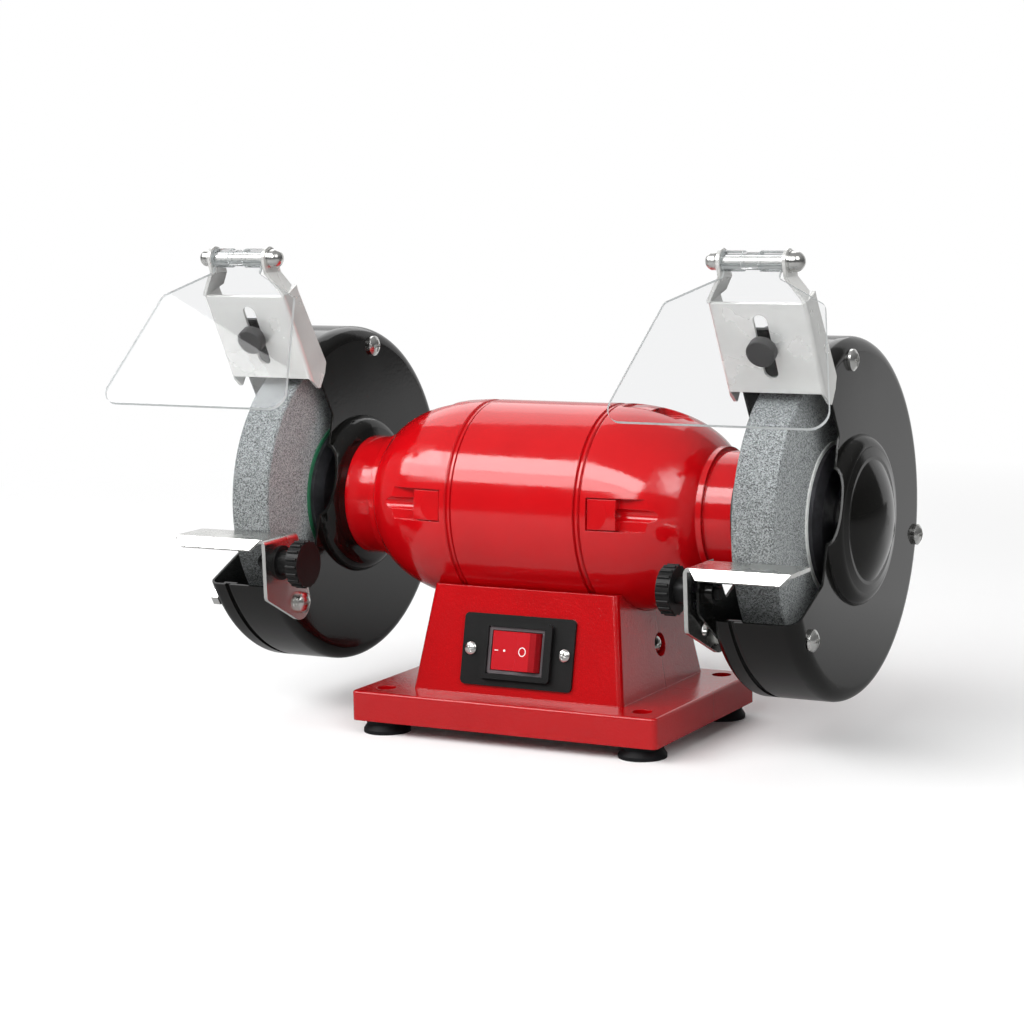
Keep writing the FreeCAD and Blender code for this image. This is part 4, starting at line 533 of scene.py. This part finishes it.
def on_rocker(across, up):
    """Point just off the rocker's face, across it and up it from its middle."""
    out = ROCKER_VALLEY + abs(across) * math.tan(ROCKER_TILT) + MARK_LIFT - ROCKER_PIN
    turned_across = across * math.cos(ROCKER_TILT) - out * math.sin(ROCKER_TILT)
    turned_out = across * math.sin(ROCKER_TILT) + out * math.cos(ROCKER_TILT) + ROCKER_PIN
    slope_out = Vector((0.0, -SLOPE_UP.z, SLOPE_UP.y))
    along = SLOPE_UP * (SWITCH_MID + up)
    return SLOPE_FOOT + Vector((turned_across, 0.0, 0.0)) + along + slope_out * turned_out


def mark(name, points, faces, ink):
    mesh = bpy.data.meshes.new(name)
    mesh.from_pydata([on_rocker(across, up) for across, up in points], [], faces)
    mesh.materials.append(ink)
    made = bpy.data.objects.new(name, mesh)
    bpy.context.collection.objects.link(made)
    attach(made, "rocker")


def circle(middle, radius):
    turns = [2 * math.pi * i / MARK_STEPS for i in range(MARK_STEPS)]
    return [(middle + radius * math.cos(t), radius * math.sin(t)) for t in turns]


def rocker_marks():
    """Ring at one end, dash and dot at the other."""
    ink = white_print()
    thick = MARK_WIDTH / 2
    inner = circle(RING_AT, RING_R - thick)
    outer = circle(RING_AT, RING_R + thick)
    band = []
    for i in range(MARK_STEPS):
        after = (i + 1) % MARK_STEPS
        band.append((i, after, MARK_STEPS + after, MARK_STEPS + i))
    mark("rocker_ring_mark", inner + outer, band, ink)
    mark("rocker_dot_mark", circle(DOT_AT, DOT_R), [tuple(range(MARK_STEPS))], ink)
    start = DASH_AT - DASH_LENGTH / 2
    end = DASH_AT + DASH_LENGTH / 2
    corners = [(start, -thick), (end, -thick), (end, thick), (start, thick)]
    mark("rocker_dash_mark", corners, [(0, 1, 2, 3)], ink)


# ---- Studio ---------------------------------------------------------------------------

def world():
    """White for the camera. The object gets a backdrop behind it and a darker room."""
    made = bpy.data.worlds.new("studio")
    bpy.context.scene.world = made
    made.use_nodes = True
    made.node_tree.nodes.clear()
    room = Nodes(made.node_tree, "Generated")
    height = room.split(room.place)["Z"]
    ambient = room.spread(height, AMBIENT_LOW, AMBIENT_HIGH, between=AMBIENT_RISE)
    behind = room.along(room.place, BACKDROP_AT)
    level = room.spread(behind, ambient, BACKDROP_LEVEL, between=BACKDROP_EDGE)
    lit = room.node("ShaderNodeBackground")
    room.link(level, lit.inputs["Strength"])
    white = room.node("ShaderNodeBackground", Color=WHITE)
    path = room.node("ShaderNodeLightPath").outputs
    seen = room.maths("MAXIMUM", path["Is Camera Ray"], path["Is Transmission Ray"])
    shader = room.mix(seen, lit.outputs["Background"], white.outputs["Background"])
    output = room.node("ShaderNodeOutputWorld")
    room.link(shader, output.inputs["Surface"])


def floor_skin():
    """Matt white that runs into the white of the backdrop away from the object. Seen from
    the camera it is paler than its share of the room's light."""
    skin = Surface("floor_white", (0.93, 0.93, 0.93), roughness=0.7)
    skin.set("Specular IOR Level", 0.1)
    path = skin.node("ShaderNodeLightPath").outputs
    seen = skin.maths("MULTIPLY", path["Is Camera Ray"], FLOOR_SEEN)
    darker = skin.maths("MULTIPLY", path["Is Glossy Ray"], FLOOR_MIRRORED)
    tone = skin.maths("ADD", skin.maths("ADD", seen, darker), FLOOR_TONE)
    skin.link(tone, skin.shader.inputs["Base Color"])
    skin.bump(skin.noise(900.0), 0.02 * MM)

    away = skin.spread(skin.length(skin.place), 0.0, 1.0, between=FLOOR_WHITE)
    direct = skin.maths("MAXIMUM", path["Is Camera Ray"], path["Is Transmission Ray"])
    place = skin.split(skin.place)
    edge = skin.maths("SUBTRACT", skin.maths("MULTIPLY", place["Y"], GLOW_SLANT), place["X"])
    behind = skin.spread(place["Y"], 0.0, GLOW_LEVEL, between=GLOW_DEPTH)
    glow = skin.maths("MULTIPLY", behind, skin.spread(edge, 0.0, 1.0, between=GLOW_EDGE))
    mirrored = skin.maths("MULTIPLY", path["Is Glossy Ray"], glow)
    shown = skin.maths("MAXIMUM", skin.maths("MULTIPLY", direct, away), mirrored)
    white = skin.node("ShaderNodeEmission", Color=WHITE, Strength=1.0)
    skin.show(skin.mix(shown, skin.shader.outputs["BSDF"], white.outputs["Emission"]))
    return skin.material


def floor():
    """Plain white floor, level with the bottom of the feet."""
    half = FLOOR_SIZE / 2
    mesh = bpy.data.meshes.new("floor")
    corners = [(-half, -half, 0), (half, -half, 0), (half, half, 0), (-half, half, 0)]
    mesh.from_pydata(corners, [], [(0, 1, 2, 3)])
    ground = bpy.data.objects.new("floor", mesh)
    bpy.context.collection.objects.link(ground)
    mesh.materials.append(floor_skin())


def lamps():
    """Rectangular lamps that face the middle of the motor."""
    for name, (direction, distance, width, height, brightness) in LAMPS.items():
        light = bpy.data.lights.new(name, "AREA")
        light.shape = "RECTANGLE"
        light.size = width
        light.size_y = height
        light.energy = brightness * math.pi * width * height
        made = bpy.data.objects.new(name, light)
        away = Vector(direction).normalized()
        made.location = LAMPS_FACE + away * distance
        made.rotation_mode = "QUATERNION"
        made.rotation_quaternion = away.to_track_quat("Z", "Y")
        made.visible_glossy = name not in LAMPS_NOT_MIRRORED
        bpy.context.collection.objects.link(made)


def camera():
    azimuth = math.radians(CAMERA_AZIMUTH)
    elevation = math.radians(CAMERA_ELEVATION)
    roll = math.radians(CAMERA_ROLL)
    back = Vector((
        math.sin(azimuth) * math.cos(elevation),
        -math.cos(azimuth) * math.cos(elevation),
        math.sin(elevation),
    ))
    level_right = Vector((math.cos(azimuth), math.sin(azimuth), 0.0))
    level_up = back.cross(level_right)
    right = level_right * math.cos(roll) + level_up * math.sin(roll)
    up = level_up * math.cos(roll) - level_right * math.sin(roll)
    lens = bpy.data.cameras.new("camera")
    lens.lens = CAMERA_LENS
    lens.sensor_width = CAMERA_SENSOR
    lens.shift_y = CAMERA_SHIFT_Y
    made = bpy.data.objects.new("camera", lens)
    made.matrix_world = Matrix.Translation(CAMERA_TARGET + back * CAMERA_DISTANCE) @ Matrix((
        (right.x, up.x, back.x, 0.0),
        (right.y, up.y, back.y, 0.0),
        (right.z, up.z, back.z, 0.0),
        (0.0, 0.0, 0.0, 1.0),
    ))
    bpy.context.collection.objects.link(made)
    bpy.context.scene.camera = made


dress()
rocker_marks()
world()
floor()
lamps()
camera()
bpy.context.scene.view_settings.view_transform = "Standard"
